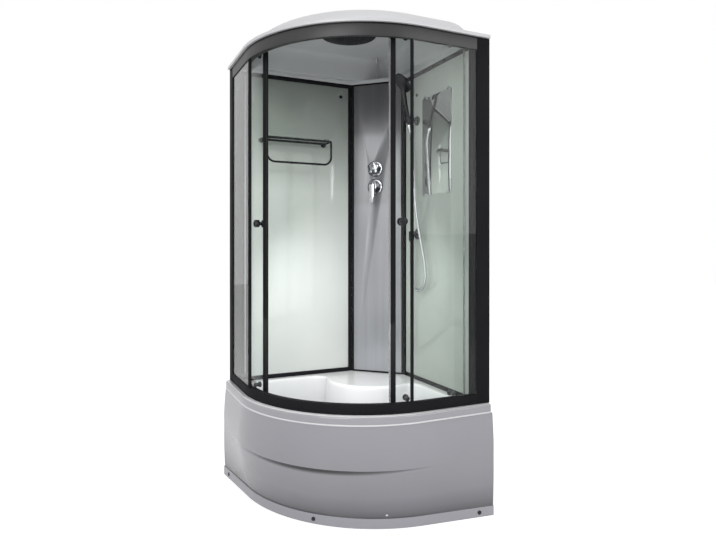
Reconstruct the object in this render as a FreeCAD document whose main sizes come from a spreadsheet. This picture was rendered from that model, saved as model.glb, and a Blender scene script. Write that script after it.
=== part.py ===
import FreeCAD, Part

import math
import os

import Sketcher

# A quadrant shower cabin with a deep tray. The corner of the room is at +X +Y, the doors
# curve round the opposite corner, and the floor is at Z 0. Sizes are in millimetres.

doc = FreeCAD.newDocument("shower_cabin")
sheet = doc.addObject("Spreadsheet::Sheet", "sizes")

SIZES = {
    # Footprint. An inset is measured from the widest front plane of the apron.
    "overall_side": 900, "lip_inset": 7, "lip_radius": 570,
    "frame_inset": 28, "frame_radius": 560,
    "deck_height": 450, "enclosure_height": 1486,
    "overrun": 20, "seat_gap": 0.3,
    # Tray
    "lip_height": 36, "lip_wall": 5, "deck_thickness": 6,
    "basin_front": 85, "basin_ledge": 100, "seat_radius": 224, "seat_middle": 224,
    "basin_floor": 131, "basin_wall": 5, "floor_thickness": 6,
    # Apron
    "apron_wall": 4, "apron_top_inset": 9, "apron_top_radius": 568,
    "belly_height": 310, "belly_radius": 600,
    "crease_height": 243, "crease_radius": 609, "crease_inset": 1,
    "tuck_radius": 618, "tuck_slant": 1, "shin_height": 135, "shin_radius": 634,
    "shin_slant": 4, "plinth_height": 40, "plinth_radius": 650, "plinth_slant": 8,
    "plinth_proud": 4,
    # Steel frame and feet
    "tube_side": 25, "tube_wall": 1.5, "frame_front": 230, "frame_inner": 320,
    "tube_front_end": 310, "tube_back_end": 137,
    "foot_pad_radius": 25, "foot_pad_height": 8, "foot_rod_radius": 6,
    "foot_nut_radius": 10, "foot_nut_height": 10,
    # Waste
    "drain_place": 430, "drain_hole_radius": 45, "drain_fit": 1,
    "drain_flange_radius": 57, "drain_flange_height": 2, "drain_cup_depth": 66,
    "drain_cup_wall": 4, "drain_nut_height": 12, "spigot_radius": 20, "spigot_wall": 2,
    "spigot_drop": 53, "spigot_reach": 130, "collar_radius": 23, "collar_reach": 52,
    "cover_radius": 53, "cover_height": 8, "cover_gap": 0.3, "cover_stem_radius": 6,
    "cover_stem_length": 30,
    # Rails and posts. A depth is measured inwards from the outer face of the rails.
    "rail_depth": 50, "bottom_rail_height": 40, "top_rail_height": 52,
    "rail_floor": 5, "rail_lip": 3.7, "slot_width": 5.6, "slot_floor": 12, "slot_roof": 14,
    "track_start": 12, "track_end": 30, "bottom_track_drop": 2, "track_lift": 5,
    "track_thickness": 4, "dam_height": 12, "dam_thickness": 3,
    "post_width": 62, "post_depth": 40, "post_wall": 2.5,
    # Fixed panes
    "glass_thickness": 5, "slot_clearance": 0.3, "fixed_end_angle": 5,
    "end_profile_width": 10, "end_profile_depth": 12, "end_profile_overlap": 6,
    # Sliding doors. Angles are measured from the tangent point of the side rail.
    "meeting_angle": 45, "door_trail_angle": 5.7, "door_depth": 38,
    "door_bottom_gap": 8, "door_top_gap": 8,
    "turn_side": 37.7, "turn_back": 120.7, "travel_angle": 25.5,
    "stile_width": 20, "stile_thickness": 12, "stile_slot": 8, "stile_clearance": 0.2,
    "stile_bottom_gap": 12, "stile_top_gap": 44,
    "meeting_gap": 0.3, "meeting_seal_width": 6, "meeting_seal_thickness": 10,
    "rear_seal_width": 7, "rear_seal_thickness": 9,
    "front_roller_angle": 37.5, "rear_roller_angle": 15,
    "wheel_radius": 10.5, "wheel_width": 6, "wheel_bore": 3.05, "wheel_depth": 20.5,
    "axle_radius": 3, "axle_head_radius": 5, "axle_head": 2, "wheel_side_gap": 0.3,
    "bush_radius": 6, "bush_fit": 0.3, "boss_radius": 8, "cap_radius": 12, "cap_height": 6,
    "curve_relief": 0.2,
    "knob_angle": 39.1, "knob_height": 735, "knob_radius": 16, "knob_reach": 26,
    "knob_neck_radius": 8, "knob_neck": 8, "knob_bolt_radius": 4, "knob_edge": 3,
    # Wall panels
    "wall_inset": 62, "bar_width": 20, "bar_depth": 22, "wall_top_gap": 15,
    "bar_groove": 3, "panel_lap": 6, "column_edge": 258,
    "column_thickness": 4, "trim_width": 12, "trim_depth": 20, "trim_proud": 2,
    "trim_height": 8,
    # Roof
    "roof_proud": 10, "roof_radius": 570, "roof_rim": 13, "roof_wall": 4,
    "dome_height": 117, "dome_front": 240, "dome_back": 115, "dome_radius": 420,
    "shoulder_height": 95, "shoulder_front": 150, "shoulder_back": 98,
    "shoulder_radius": 445, "dome_foot": 22, "dome_foot_back": 95,
    "roof_shelf": 54, "roof_step": 4, "ceiling_rim": 26,
    # Rain head
    "rain_x": 466, "rain_y": 497, "rain_neck": 9, "rain_radius": 120,
    "rain_plate": 9, "rain_boss_radius": 18, "rain_boss_height": 32, "ball_radius": 12,
    "ball_drop": 28, "ball_fit": 0.05, "neck_radius": 6, "mouth_radius": 13,
    "inlet_nut_radius": 15, "inlet_nut_height": 12, "inlet_radius": 10.5,
    "inlet_rise": 16, "inlet_block": 13, "inlet_tail": 30, "hose_radius": 7, "hose_bend": 56,
    "tail_radius": 5, "tail_overlap": 10,
    # Valves on the column. Heights are above the deck.
    "mixer_height": 942, "diverter_rise": 92, "valve_offset": 11,
    "body_gap": 8, "body_depth": 40, "body_half_width": 90, "body_half_height": 20,
    "diverter_half_width": 35, "link_half_width": 15, "link_margin": 6,
    "inlet_spacing": 150, "thread_radius": 10.48, "thread_length": 25,
    "mixer_boss_radius": 24, "diverter_boss_radius": 18, "boss_reach": 12,
    "boss_fit": 2, "plate_radius": 40.5, "plate_thickness": 6, "plate_fit": 0.2,
    "pivot_radius": 8, "pivot_fit": 0.05, "pivot_length": 14, "hub_gap": 0.3,
    "hub_radius": 21, "hub_length": 32, "lever_slot": 16, "lever_width": 14,
    "lever_side_gap": 0.4,
    "lever_pin_radius": 3, "lever_pin_fit": 0.05, "lever_length": 96, "lever_thickness": 9,
    "lever_eye": 7, "lever_rise": 14,
    "knob_lobe_radius": 9, "knob_core_radius": 21, "knob_length": 28,
    # Hand shower on the side wall
    "outlet_y": 506, "outlet_height": 698, "outlet_reach": 36, "outlet_flange_radius": 25,
    "outlet_flange": 6, "outlet_body_radius": 13, "outlet_drop": 30,
    "outlet_thread_radius": 10.2, "hose_nut_radius": 11.5, "hose_nut_length": 22,
    "wall_hole_radius": 10, "tail_back": 33, "tail_rise": 27,
    "holder_y": 510, "holder_height": 1240, "holder_flange_radius": 22,
    "holder_flange": 6, "knuckle_reach": 21, "knuckle_radius": 9,
    "knuckle_width": 12, "hinge_pin_radius": 4, "hinge_pin_fit": 0.05, "ear_thickness": 5,
    "ear_gap": 0.3, "cradle_reach": 51, "cradle_radius": 17, "cradle_height": 26,
    "cradle_fit": 0.3, "handset_tilt": 13.6, "handset_lean": 3.5, "cone_radius": 13, "cone_taper": 2,
    "handle_radius": 10, "handle_top_radius": 12, "handle_length": 150,
    "handle_foot": 20, "head_radius": 50, "head_depth": 22, "head_centre": 172,
    "head_tilt": 62, "spout_radius": 7, "shower_hose_radius": 7,
    "hose_lead": 45,
    # Shelf, towel bar and mirror
    "shelf_left": 165, "shelf_length": 320, "shelf_reach": 100, "shelf_height": 1150,
    "shelf_glass": 6, "shelf_margin": 6, "rod_radius": 5, "towel_drop": 114,
    "towel_bend": 38, "flange_radius": 13, "flange_thickness": 5,
    "mirror_front": 215, "mirror_width": 243, "mirror_bottom": 877, "mirror_tall": 453,
    "mirror_thickness": 5, "clip_width": 16, "clip_height": 12, "clip_lap": 5,
    "clip_lip": 2,
    # Cover caps
    "cap_disc_radius": 8, "cap_disc_height": 4, "back_cap_x": 580, "back_cap_height": 1404,
    "side_cap_y": 513, "side_cap_height": 1364, "plinth_cap_radius": 8,
    "plinth_cap_height": 20, "plinth_cap_reach": 3, "plinth_cap_inset": 64,
    "plinth_cap_angle": 46.7,
}
for row, (alias, number) in enumerate(SIZES.items(), start=1):
    sheet.set("A%d" % row, alias)
    sheet.set("B%d" % row, str(number))
    sheet.setAlias("B%d" % row, alias)
doc.recompute()


class Size:
    """A length or angle that knows its value and the sheet expression that gives it."""

    def __init__(self, value, text):
        self.value = value
        self.text = text

    def __add__(self, other):
        return Size(self.value + number_of(other), "(%s + %s)" % (self.text, text_of(other)))

    def __sub__(self, other):
        return Size(self.value - number_of(other), "(%s - %s)" % (self.text, text_of(other)))

    def __mul__(self, other):
        return Size(self.value * number_of(other), "(%s * %s)" % (self.text, text_of(other)))

    def __truediv__(self, other):
        return Size(self.value / number_of(other), "(%s / %s)" % (self.text, text_of(other)))

    def __neg__(self):
        return Size(-self.value, "(0 - %s)" % self.text)

    def __float__(self):
        return float(self.value)


def number_of(thing):
    return float(thing)


def text_of(thing):
    return thing.text if isinstance(thing, Size) else repr(thing)


def sine(angle):
    return Size(math.sin(math.radians(angle.value)), "sin(%s)" % angle.text)


def cosine(angle):
    return Size(math.cos(math.radians(angle.value)), "cos(%s)" % angle.text)


def root(area):
    return Size(math.sqrt(area.value), "sqrt(%s)" % area.text)


class Sheet:
    """Gives each cell of the sheet by its alias, as in s.deck_height."""

    def __getattr__(self, alias):
        return Size(float(sheet.get(alias)), "sizes." + alias)


s = Sheet()
ZERO = s.overall_side * 0
DEGREES = 180 / math.pi
UP = FreeCAD.Vector(0, 0, 1)
FORWARD = FreeCAD.Vector(0, 1, 0)
SIDE = FreeCAD.Vector(1, 0, 0)


# Bound features

def tie(feature, **values):
    """Binds properties of a feature to sizes. Base__x stands for Placement.Base.x."""
    for path, value in values.items():
        path = path.replace("Base__", "Placement.Base.")
        feature.setExpression(path, text_of(value))


def new_body(label):
    body = doc.addObject("PartDesign::Body", label)
    body.Label = label
    return body


def new_sketch(body, plane="XY_Plane", offset=None):
    """A sketch on one of the body's own origin planes, raised by an offset."""
    sketch = body.newObject("Sketcher::SketchObject", body.Name + "_sketch")
    support = [f for f in body.Origin.OriginFeatures if f.Role == plane][0]
    sketch.AttachmentSupport = [(support, "")]
    sketch.MapMode = "FlatFace"
    if offset is not None:
        sketch.setExpression("AttachmentOffset.Base.z", text_of(offset))
    return sketch


def hold(sketch, kind, geometry, point, value):
    """Fixes one coordinate of a point of the sketch."""
    if number_of(value) == 0 and not isinstance(value, Size):
        axis = -2 if kind == "DistanceX" else -1
        sketch.addConstraint(Sketcher.Constraint("PointOnObject", geometry, point, axis))
        return
    index = sketch.addConstraint(
        Sketcher.Constraint(kind, -1, 1, geometry, point, number_of(value)))
    sketch.setExpression("Constraints[%d]" % index, text_of(value))


def outline(sketch, corners):
    """A closed outline. A corner is (x, y), or (x, y, radius, centre x, centre y) where an
    arc of under half a circle runs from it to the next corner."""
    ends = []
    for number, corner in enumerate(corners):
        follower = corners[(number + 1) % len(corners)]
        start = FreeCAD.Vector(float(corner[0]), float(corner[1]), 0)
        end = FreeCAD.Vector(float(follower[0]), float(follower[1]), 0)
        if len(corner) == 2:
            index = sketch.addGeometry(Part.LineSegment(start, end))
            ends.append((index, 1, 2))
            continue
        centre = FreeCAD.Vector(float(corner[3]), float(corner[4]), 0)
        first = math.atan2(start.y - centre.y, start.x - centre.x)
        last = math.atan2(end.y - centre.y, end.x - centre.x)
        turn = (last - first) % math.tau
        forwards = turn < math.pi
        if not forwards:
            first, last = last, first
        last = first + (last - first) % math.tau
        circle = Part.Circle(centre, UP, float(corner[2]))
        index = sketch.addGeometry(Part.ArcOfCircle(circle, first, last))
        ends.append((index, 1, 2) if forwards else (index, 2, 1))
    for number, (index, begin, end) in enumerate(ends):
        follower, follower_begin, _ = ends[(number + 1) % len(ends)]
        sketch.addConstraint(
            Sketcher.Constraint("Coincident", index, end, follower, follower_begin))
        hold(sketch, "DistanceX", index, begin, corners[number][0])
        hold(sketch, "DistanceY", index, begin, corners[number][1])
        if len(corners[number]) > 2:
            radius = corners[number][2]
            bound = sketch.addConstraint(Sketcher.Constraint("Radius", index, float(radius)))
            sketch.setExpression("Constraints[%d]" % bound, text_of(radius))
    return sketch


def circle(sketch, x, y, radius):
    """A full circle in a sketch."""
    centre = FreeCAD.Vector(float(x), float(y), 0)
    index = sketch.addGeometry(Part.Circle(centre, UP, float(radius)))
    hold(sketch, "DistanceX", index, 3, x)
    hold(sketch, "DistanceY", index, 3, y)
    bound = sketch.addConstraint(Sketcher.Constraint("Radius", index, float(radius)))
    sketch.setExpression("Constraints[%d]" % bound, text_of(radius))
    return sketch


def pad(body, sketch, length):
    feature = body.newObject("PartDesign::Pad", body.Name + "_pad")
    feature.Profile = sketch
    feature.setExpression("Length", text_of(length))
    return feature


def pocket(body, sketch, length, reverse=False):
    """A cut against the sketch's normal, or along it when reversed."""
    feature = body.newObject("PartDesign::Pocket", body.Name + "_pocket")
    feature.Profile = sketch
    feature.setExpression("Length", text_of(length))
    feature.Reversed = reverse
    return feature


def plate(label, corners, bottom, height):
    """A body with one outline padded upwards."""
    body = new_body(label)
    pad(body, outline(new_sketch(body, offset=bottom), corners), height)
    return body


def turned(label, corners):
    """A body turned about the Z axis from a half section of (radius, height) corners."""
    body = new_body(label)
    sketch = outline(new_sketch(body, "XZ_Plane"), corners)
    feature = body.newObject("PartDesign::Revolution", label + "_turn")
    feature.Profile = sketch
    feature.ReferenceAxis = (sketch, ["V_Axis"])
    feature.Angle = 360
    return body


def box(label, x, y, z, length, width, height):
    feature = doc.addObject("Part::Box", label)
    tie(feature, Length=length, Width=width, Height=height, Base__x=x, Base__y=y, Base__z=z)
    return feature


def rod(label, x, y, z, radius, length, direction=UP):
    """A cylinder that starts at a point and runs along a direction."""
    feature = doc.addObject("Part::Cylinder", label)
    feature.Placement.Rotation = FreeCAD.Rotation(UP, direction)
    tie(feature, Radius=radius, Height=length, Base__x=x, Base__y=y, Base__z=z)
    return feature


def joined(label, pieces):
    feature = doc.addObject("Part::MultiFuse", label)
    feature.Shapes = pieces
    feature.Label = label
    return feature


def cut(label, base, tool):
    feature = doc.addObject("Part::Cut", label)
    feature.Base = base
    feature.Tool = tool
    feature.Label = label
    return feature


def group(label, pieces):
    """Separate solids that share one node."""
    feature = doc.addObject("Part::Compound", label)
    feature.Links = pieces
    feature.Label = label
    return feature


NODES = []


def node(feature, label=None):
    """Lists a feature as one of the pieces that are written out."""
    if label:
        feature.Label = label
    NODES.append(feature)
    return feature


# Footprint lines

half = s.overall_side / 2
frame_front = s.frame_inset - half
centre = frame_front + s.frame_radius
deck = s.deck_height
rail_top = deck + s.enclosure_height
post_line = half - s.post_width


def quadrant(back, front, radius):
    """The cabin's plan: two straight back sides, two front planes and an arc."""
    middle = front + radius
    return [(back, back), (back, front), (middle, front, radius, middle, middle),
            (front, middle), (front, back)]


def flared(back, front, radius, slant):
    """A plan whose front planes lean out to the walls, at a tangent to the arc."""
    rise = sine(slant) / cosine(slant)
    middle = (front + radius / cosine(slant) + half * rise) / (rise + 1)
    near = middle - radius * cosine(slant)
    far = middle - radius * sine(slant)
    end = near - (back - far) * rise
    return [(back, back), (back, end), (far, near, radius, middle, middle), (near, far),
            (end, back)]


def swap(corners, mirrored):
    """Mirrors an outline across the diagonal of the cabin."""
    if not mirrored:
        return corners
    flipped = []
    for corner in corners:
        if len(corner) == 2:
            flipped.append((corner[1], corner[0]))
        else:
            flipped.append((corner[1], corner[0], corner[2], corner[4], corner[3]))
    return flipped


def on_arc(depth, angle):
    """A point at a depth behind the rails' outer face, at an angle into the arc."""
    radius = s.frame_radius - depth
    return centre - radius * sine(angle), centre - radius * cosine(angle)


def arc_length(length, depth):
    """The angle that a length takes up along the arc at a depth."""
    return length / (s.frame_radius - depth) * DEGREES


def arc_strip(first, last, depth, thickness):
    """A curved strip between two angles."""
    inner = depth + thickness
    a, b = on_arc(depth, first), on_arc(depth, last)
    c, d = on_arc(inner, last), on_arc(inner, first)
    return [a + (s.frame_radius - depth, centre, centre), b,
            c + (s.frame_radius - inner, centre, centre), d]


# Tray

def basin(wall):
    """The basin's plan, grown outwards by a wall. The seat fills its back corner."""
    side = half - s.basin_ledge + wall
    front = frame_front + s.basin_front - wall
    radius = s.frame_radius - s.basin_front + wall
    seat = s.seat_radius - wall
    middle = half - s.seat_middle
    start = middle - root(seat * seat - (side - middle) * (side - middle))
    return [(side, front), (centre, front, radius, centre, centre), (front, centre),
            (front, side), (start, side, seat, middle, middle), (side, start)]


drain = half - s.drain_place - s.drain_hole_radius
tray = new_body("shower_tray")
lip_bottom = deck - s.lip_height
lip_front = s.lip_inset - half
pad(tray, outline(new_sketch(tray, offset=lip_bottom),
                  quadrant(half, lip_front, s.lip_radius)), s.lip_height)
pocket(tray, outline(new_sketch(tray, offset=lip_bottom),
                     quadrant(half - s.lip_wall, lip_front + s.lip_wall,
                              s.lip_radius - s.lip_wall)),
       s.lip_height - s.deck_thickness, reverse=True)
under = s.basin_floor - s.floor_thickness
pad(tray, outline(new_sketch(tray, offset=under), basin(s.basin_wall)), deck - under)
pocket(tray, outline(new_sketch(tray, offset=deck), basin(ZERO)), deck - s.basin_floor)
pocket(tray, circle(new_sketch(tray, offset=s.basin_floor), drain, drain,
                    s.drain_hole_radius), s.floor_thickness)
node(tray)


# Apron. It bulges under the tray's lip, steps back at the crease and sweeps in to a plinth.

def shell_loft(body, sections, wall):
    """A lofted shell through plans at several heights, open towards the room's corner."""
    for subtractive in (False, True):
        sketches = []
        for height, front, radius, slant in sections:
            sketch = new_sketch(body, offset=height)
            if subtractive:
                outline(sketch, flared(half + s.overrun, front + wall, radius - wall, slant))
            else:
                outline(sketch, flared(half, front, radius, slant))
            sketches.append(sketch)
        kind = "Subtractive" if subtractive else "Additive"
        feature = body.newObject("PartDesign::%sLoft" % kind, body.Name + "_loft")
        feature.Profile = sketches[0]
        feature.Sections = sketches[1:]
        feature.Ruled = False


apron = new_body("front_apron")
crease_front = s.crease_inset - half
foot_front = crease_front + s.plinth_proud
upright = ZERO
shell_loft(apron, [
    (lip_bottom, s.apron_top_inset - half, s.apron_top_radius, upright),
    (s.belly_height, -half, s.belly_radius, upright),
    (s.crease_height, crease_front, s.crease_radius, upright)], s.apron_wall)
shin = new_body("apron_shin")
shell_loft(shin, [
    (s.crease_height, crease_front, s.tuck_radius, s.tuck_slant),
    (s.shin_height, crease_front, s.shin_radius, s.shin_slant),
    (s.plinth_height, foot_front, s.plinth_radius - s.plinth_proud, s.plinth_slant)],
    s.apron_wall + s.plinth_proud)
plinth = new_body("apron_plinth")
shell_loft(plinth, [(level, crease_front, s.plinth_radius, s.plinth_slant)
                    for level in (ZERO, s.plinth_height)], s.apron_wall + s.plinth_proud)
node(joined("front_apron_panel", [apron, shin, plinth]), "front_panel")


# Steel frame and levelling feet

frame_top = under
tube_low = frame_top - s.tube_side
half_tube = s.tube_side / 2


def tube(label, x, y, length, along_x, inner):
    """One square tube of the frame, or the bore inside it."""
    wall = s.tube_wall if inner else ZERO
    spare = s.overrun if inner else ZERO
    side = s.tube_side - wall * 2
    if along_x:
        return box(label, x - spare, y - half_tube + wall, tube_low + wall,
                   length + spare * 2, side, side)
    return box(label, x - half_tube + wall, y - spare, tube_low + wall, side,
               length + spare * 2, side)


front_line = -s.frame_front
inner_line = half - s.frame_inner
front_start = half - s.tube_front_end - s.tube_front_end + s.tube_side
tube_end = half - s.tube_back_end
outer_tubes = []
bores = []
for inner, pile in ((False, outer_tubes), (True, bores)):
    name = "bore" if inner else "tube"
    start = front_line - half_tube
    short = -s.tube_back_end
    pile.append(tube(name + "_front", short, front_line, tube_end - short, True, inner))
    pile.append(tube(name + "_side", front_line, short, tube_end - short, False, inner))
    pile.append(tube(name + "_across", start, inner_line, tube_end - start, True, inner))
    pile.append(tube(name + "_along", inner_line, start, tube_end - start, False, inner))
leg_height = deck - s.deck_thickness - frame_top
leg_places = ((tube_end - s.tube_side, inner_line - half_tube),
              (inner_line - half_tube, tube_end - s.tube_side))
for number, (x, y) in enumerate(leg_places):
    outer_tubes.append(box("seat_leg%d" % number, x, y, tube_low, s.tube_side, s.tube_side,
                           leg_height + s.tube_side))
    bores.append(box("seat_leg_bore%d" % number, x + s.tube_wall, y + s.tube_wall, frame_top,
                     s.tube_side - s.tube_wall * 2, s.tube_side - s.tube_wall * 2,
                     leg_height + s.tube_side))
node(cut("tray_frame", joined("frame_tubes", outer_tubes), joined("frame_bores", bores)))

foot_reach = tube_end - half_tube
feet = []
foot_places = ((half_tube - s.tube_back_end, front_line), (foot_reach, front_line),
               (front_line, half_tube - s.tube_back_end), (front_line, foot_reach),
               (foot_reach, inner_line), (inner_line, foot_reach))
for number, (x, y) in enumerate(foot_places):
    foot = turned("foot%d" % number, [
        (0, 0), (s.foot_pad_radius, 0), (s.foot_pad_radius, s.foot_pad_height),
        (s.foot_rod_radius, s.foot_pad_height),
        (s.foot_rod_radius, tube_low - s.foot_nut_height),
        (s.foot_nut_radius, tube_low - s.foot_nut_height), (s.foot_nut_radius, tube_low),
        (0, tube_low)])
    tie(foot, Base__x=x, Base__y=y)
    feet.append(foot)
node(group("levelling_feet", feet))


# Waste trap and its cover

cup_radius = s.drain_hole_radius - s.drain_fit
cup_bore = cup_radius - s.drain_cup_wall
cup_bottom = s.basin_floor - s.drain_cup_depth - s.drain_nut_height
flange_top = s.basin_floor + s.drain_flange_height
trap_cup = turned("trap_cup", [
    (0, cup_bottom), (cup_radius, cup_bottom), (cup_radius, under - s.drain_nut_height),
    (s.drain_flange_radius, under - s.drain_nut_height), (s.drain_flange_radius, under),
    (cup_radius, under), (cup_radius, s.basin_floor), (s.drain_flange_radius, s.basin_floor),
    (s.drain_flange_radius, flange_top), (0, flange_top)])
tie(trap_cup, Base__x=drain, Base__y=drain)
spigot_level = s.basin_floor - s.spigot_drop
spigot = rod("trap_spigot", drain, drain, spigot_level, s.spigot_radius, s.spigot_reach, SIDE)
collar = rod("trap_collar", drain, drain, spigot_level, s.collar_radius, s.collar_reach, SIDE)
spigot_bore = rod("trap_spigot_bore", drain, drain, spigot_level,
                  s.spigot_radius - s.spigot_wall, s.spigot_reach + s.overrun, SIDE)
cup_hollow = rod("trap_hollow", drain, drain, cup_bottom + s.drain_cup_wall, cup_bore,
                 flange_top - cup_bottom)
node(cut("drain_trap", joined("trap_outer", [trap_cup, spigot, collar]),
         joined("trap_bores", [cup_hollow, spigot_bore])))

cover_low = flange_top + s.cover_gap
cover = turned("drain_cover", [
    (0, cover_low - s.cover_stem_length), (s.cover_stem_radius, cover_low - s.cover_stem_length),
    (s.cover_stem_radius, cover_low), (s.cover_radius, cover_low),
    (s.cover_radius, cover_low + s.cover_height / 2),
    (s.cover_radius - s.cover_height / 2, cover_low + s.cover_height),
    (0, cover_low + s.cover_height)])
tie(cover, Base__x=drain, Base__y=drain)
node(cover)


# Rails. One section runs round the path of the outer face.

def rail(label, section):
    """A rail swept along the front, from post to post."""
    body = new_body(label)
    path = new_sketch(body)
    middle = centre
    lines = (((post_line, frame_front), (middle, frame_front)),
             ((frame_front, middle), (frame_front, post_line)))
    first = path.addGeometry(Part.LineSegment(
        *[FreeCAD.Vector(float(x), float(y), 0) for x, y in lines[0]]))
    arc_circle = Part.Circle(FreeCAD.Vector(float(middle), float(middle), 0), UP,
                             float(s.frame_radius))
    bend = path.addGeometry(Part.ArcOfCircle(arc_circle, math.pi, math.pi * 3 / 2))
    last = path.addGeometry(Part.LineSegment(
        *[FreeCAD.Vector(float(x), float(y), 0) for x, y in lines[1]]))
    path.addConstraint(Sketcher.Constraint("Coincident", first, 2, bend, 2))
    path.addConstraint(Sketcher.Constraint("Coincident", bend, 1, last, 1))
    for index, point, (x, y) in ((first, 1, lines[0][0]), (first, 2, lines[0][1]),
                                 (last, 1, lines[1][0]), (last, 2, lines[1][1])):
        hold(path, "DistanceX", index, point, x)
        hold(path, "DistanceY", index, point, y)
    bound = path.addConstraint(Sketcher.Constraint("Radius", bend, float(s.frame_radius)))
    path.setExpression("Constraints[%d]" % bound, s.frame_radius.text)
    profile = outline(new_sketch(body, "YZ_Plane", offset=post_line),
                      [(frame_front + depth, level) for depth, level in section])
    sweep = body.newObject("PartDesign::AdditivePipe", label + "_sweep")
    sweep.Profile = profile
    sweep.Spine = path
    return body


slot_end = s.rail_lip + s.slot_width
floor_top = deck + s.rail_floor
bottom_track = deck + s.bottom_rail_height - s.bottom_track_drop
node(rail("bottom_rail", [
    (ZERO, deck), (s.rail_depth, deck), (s.rail_depth, deck + s.dam_height),
    (s.rail_depth - s.dam_thickness, deck + s.dam_height),
    (s.rail_depth - s.dam_thickness, floor_top), (s.track_end, floor_top),
    (s.track_end, bottom_track), (slot_end, bottom_track), (slot_end, deck + s.slot_floor),
    (s.rail_lip, deck + s.slot_floor), (s.rail_lip, deck + s.bottom_rail_height),
    (ZERO, deck + s.bottom_rail_height)]))
top_low = rail_top - s.top_rail_height
track_low = top_low + s.track_lift
top_track = track_low + s.track_thickness
node(rail("top_rail", [
    (ZERO, top_low), (s.rail_lip, top_low), (s.rail_lip, rail_top - s.slot_roof),
    (slot_end, rail_top - s.slot_roof), (slot_end, track_low), (s.track_end, track_low),
    (s.track_end, top_track), (s.track_start, top_track),
    (s.track_start, rail_top - s.rail_floor), (s.rail_depth, rail_top - s.rail_floor),
    (s.rail_depth, rail_top), (ZERO, rail_top)]))


def post(label, mirrored):
    """A hollow wall post at one end of the rails."""
    body = new_body(label)
    outer = [(post_line, frame_front), (half, frame_front),
             (half, frame_front + s.post_depth), (post_line, frame_front + s.post_depth)]
    wall = s.post_wall
    inner = [(post_line + wall, frame_front + wall), (half - wall, frame_front + wall),
             (half - wall, frame_front + s.post_depth - wall),
             (post_line + wall, frame_front + s.post_depth - wall)]
    sketch = new_sketch(body, offset=deck)
    outline(sketch, swap(outer, mirrored))
    outline(sketch, swap(inner, mirrored))
    pad(body, sketch, s.enclosure_height)
    return node(body)


def fixed_pane(label, mirrored):
    """A fixed pane: straight from the post, then a little way round the arc."""
    depth = s.rail_lip + s.slot_clearance
    inner = depth + s.glass_thickness
    a = on_arc(depth, s.fixed_end_angle)
    b = on_arc(inner, s.fixed_end_angle)
    corners = [(post_line, frame_front + depth),
               (centre, frame_front + depth, s.frame_radius - depth, centre, centre), a,
               b + (s.frame_radius - inner, centre, centre),
               (centre, frame_front + inner), (post_line, frame_front + inner)]
    low = deck + s.slot_floor
    return node(plate(label, swap(corners, mirrored), low, rail_top - s.slot_roof - low))


def end_profile(label, mirrored):
    """The upright profile that closes the free edge of a fixed pane, with its groove."""
    depth = s.rail_lip + s.slot_clearance
    overlap = arc_length(s.end_profile_overlap, depth)
    width = arc_length(s.end_profile_width, depth)
    first = s.fixed_end_angle - overlap
    front = depth + s.glass_thickness / 2 - s.end_profile_depth / 2
    low = deck + s.bottom_rail_height
    body = plate(label, swap(arc_strip(first, first + width, front, s.end_profile_depth),
                             mirrored), low, top_low - low)
    groove = outline(new_sketch(body, offset=top_low), swap(
        arc_strip(first - overlap, s.fixed_end_angle, depth, s.glass_thickness), mirrored))
    pocket(body, groove, top_low - low)
    return node(body)


post("right_post", False)
post("left_post", True)
fixed_pane("right_fixed_glass", False)
fixed_pane("left_fixed_glass", True)
end_profile("right_end_profile", False)
end_profile("left_end_profile", True)


# Sliding doors. Each is drawn closed, then turned open about its own axis.

turn_x = centre + s.turn_side
turn_y = centre + s.turn_back
door_low = deck + s.rail_floor + s.door_bottom_gap
door_high = rail_top - s.rail_floor - s.door_top_gap
door_inner = s.door_depth + s.glass_thickness
door_middle = s.door_depth + s.glass_thickness / 2
meeting_gap_angle = arc_length(s.meeting_gap, door_middle)
meeting_edge = s.meeting_angle - meeting_gap_angle
stile_front = meeting_edge - arc_length(s.meeting_seal_width, door_middle)
stile_back = stile_front - arc_length(s.stile_width, door_middle)
glass_edge = stile_back + arc_length(s.stile_slot, door_middle)
stile_low = deck + s.stile_bottom_gap + s.rail_floor
stile_high = rail_top - s.stile_top_gap + s.track_start
bottom_axle = bottom_track + s.seat_gap + s.wheel_radius
top_axle = top_track + s.seat_gap + s.wheel_radius
knob_level = deck + s.knob_height


def opening_turn(mirrored):
    """The placement that swings a closed door to where it stands open."""
    x, y = float(turn_x), float(turn_y)
    angle = float(s.travel_angle)
    if mirrored:
        x, y, angle = y, x, -angle
    return FreeCAD.Placement(FreeCAD.Vector(0, 0, 0), FreeCAD.Rotation(UP, angle),
                             FreeCAD.Vector(x, y, 0))


def closed_frame(angle, level, depth, mirrored):
    """Where a piece on the closed door stands: Z points outwards through the glass."""
    radius = float(s.frame_radius - depth)
    way = math.radians(float(angle))
    out = FreeCAD.Vector(-math.sin(way), -math.cos(way), 0)
    if mirrored:
        out = FreeCAD.Vector(out.y, out.x, 0)
    middle = FreeCAD.Vector(float(centre), float(centre), float(level))
    return FreeCAD.Placement(middle + out * radius, FreeCAD.Rotation(UP, out))


def on_door(feature, angle, level, depth, mirrored):
    feature.Placement = opening_turn(mirrored) * closed_frame(angle, level, depth, mirrored)
    return feature


ROLLERS = (("top_front", s.front_roller_angle, top_axle),
           ("top_rear", s.rear_roller_angle, top_axle),
           ("bottom_front", s.front_roller_angle, bottom_axle),
           ("bottom_rear", s.rear_roller_angle, bottom_axle))
wheel_middle = s.wheel_depth + s.wheel_width / 2


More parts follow.
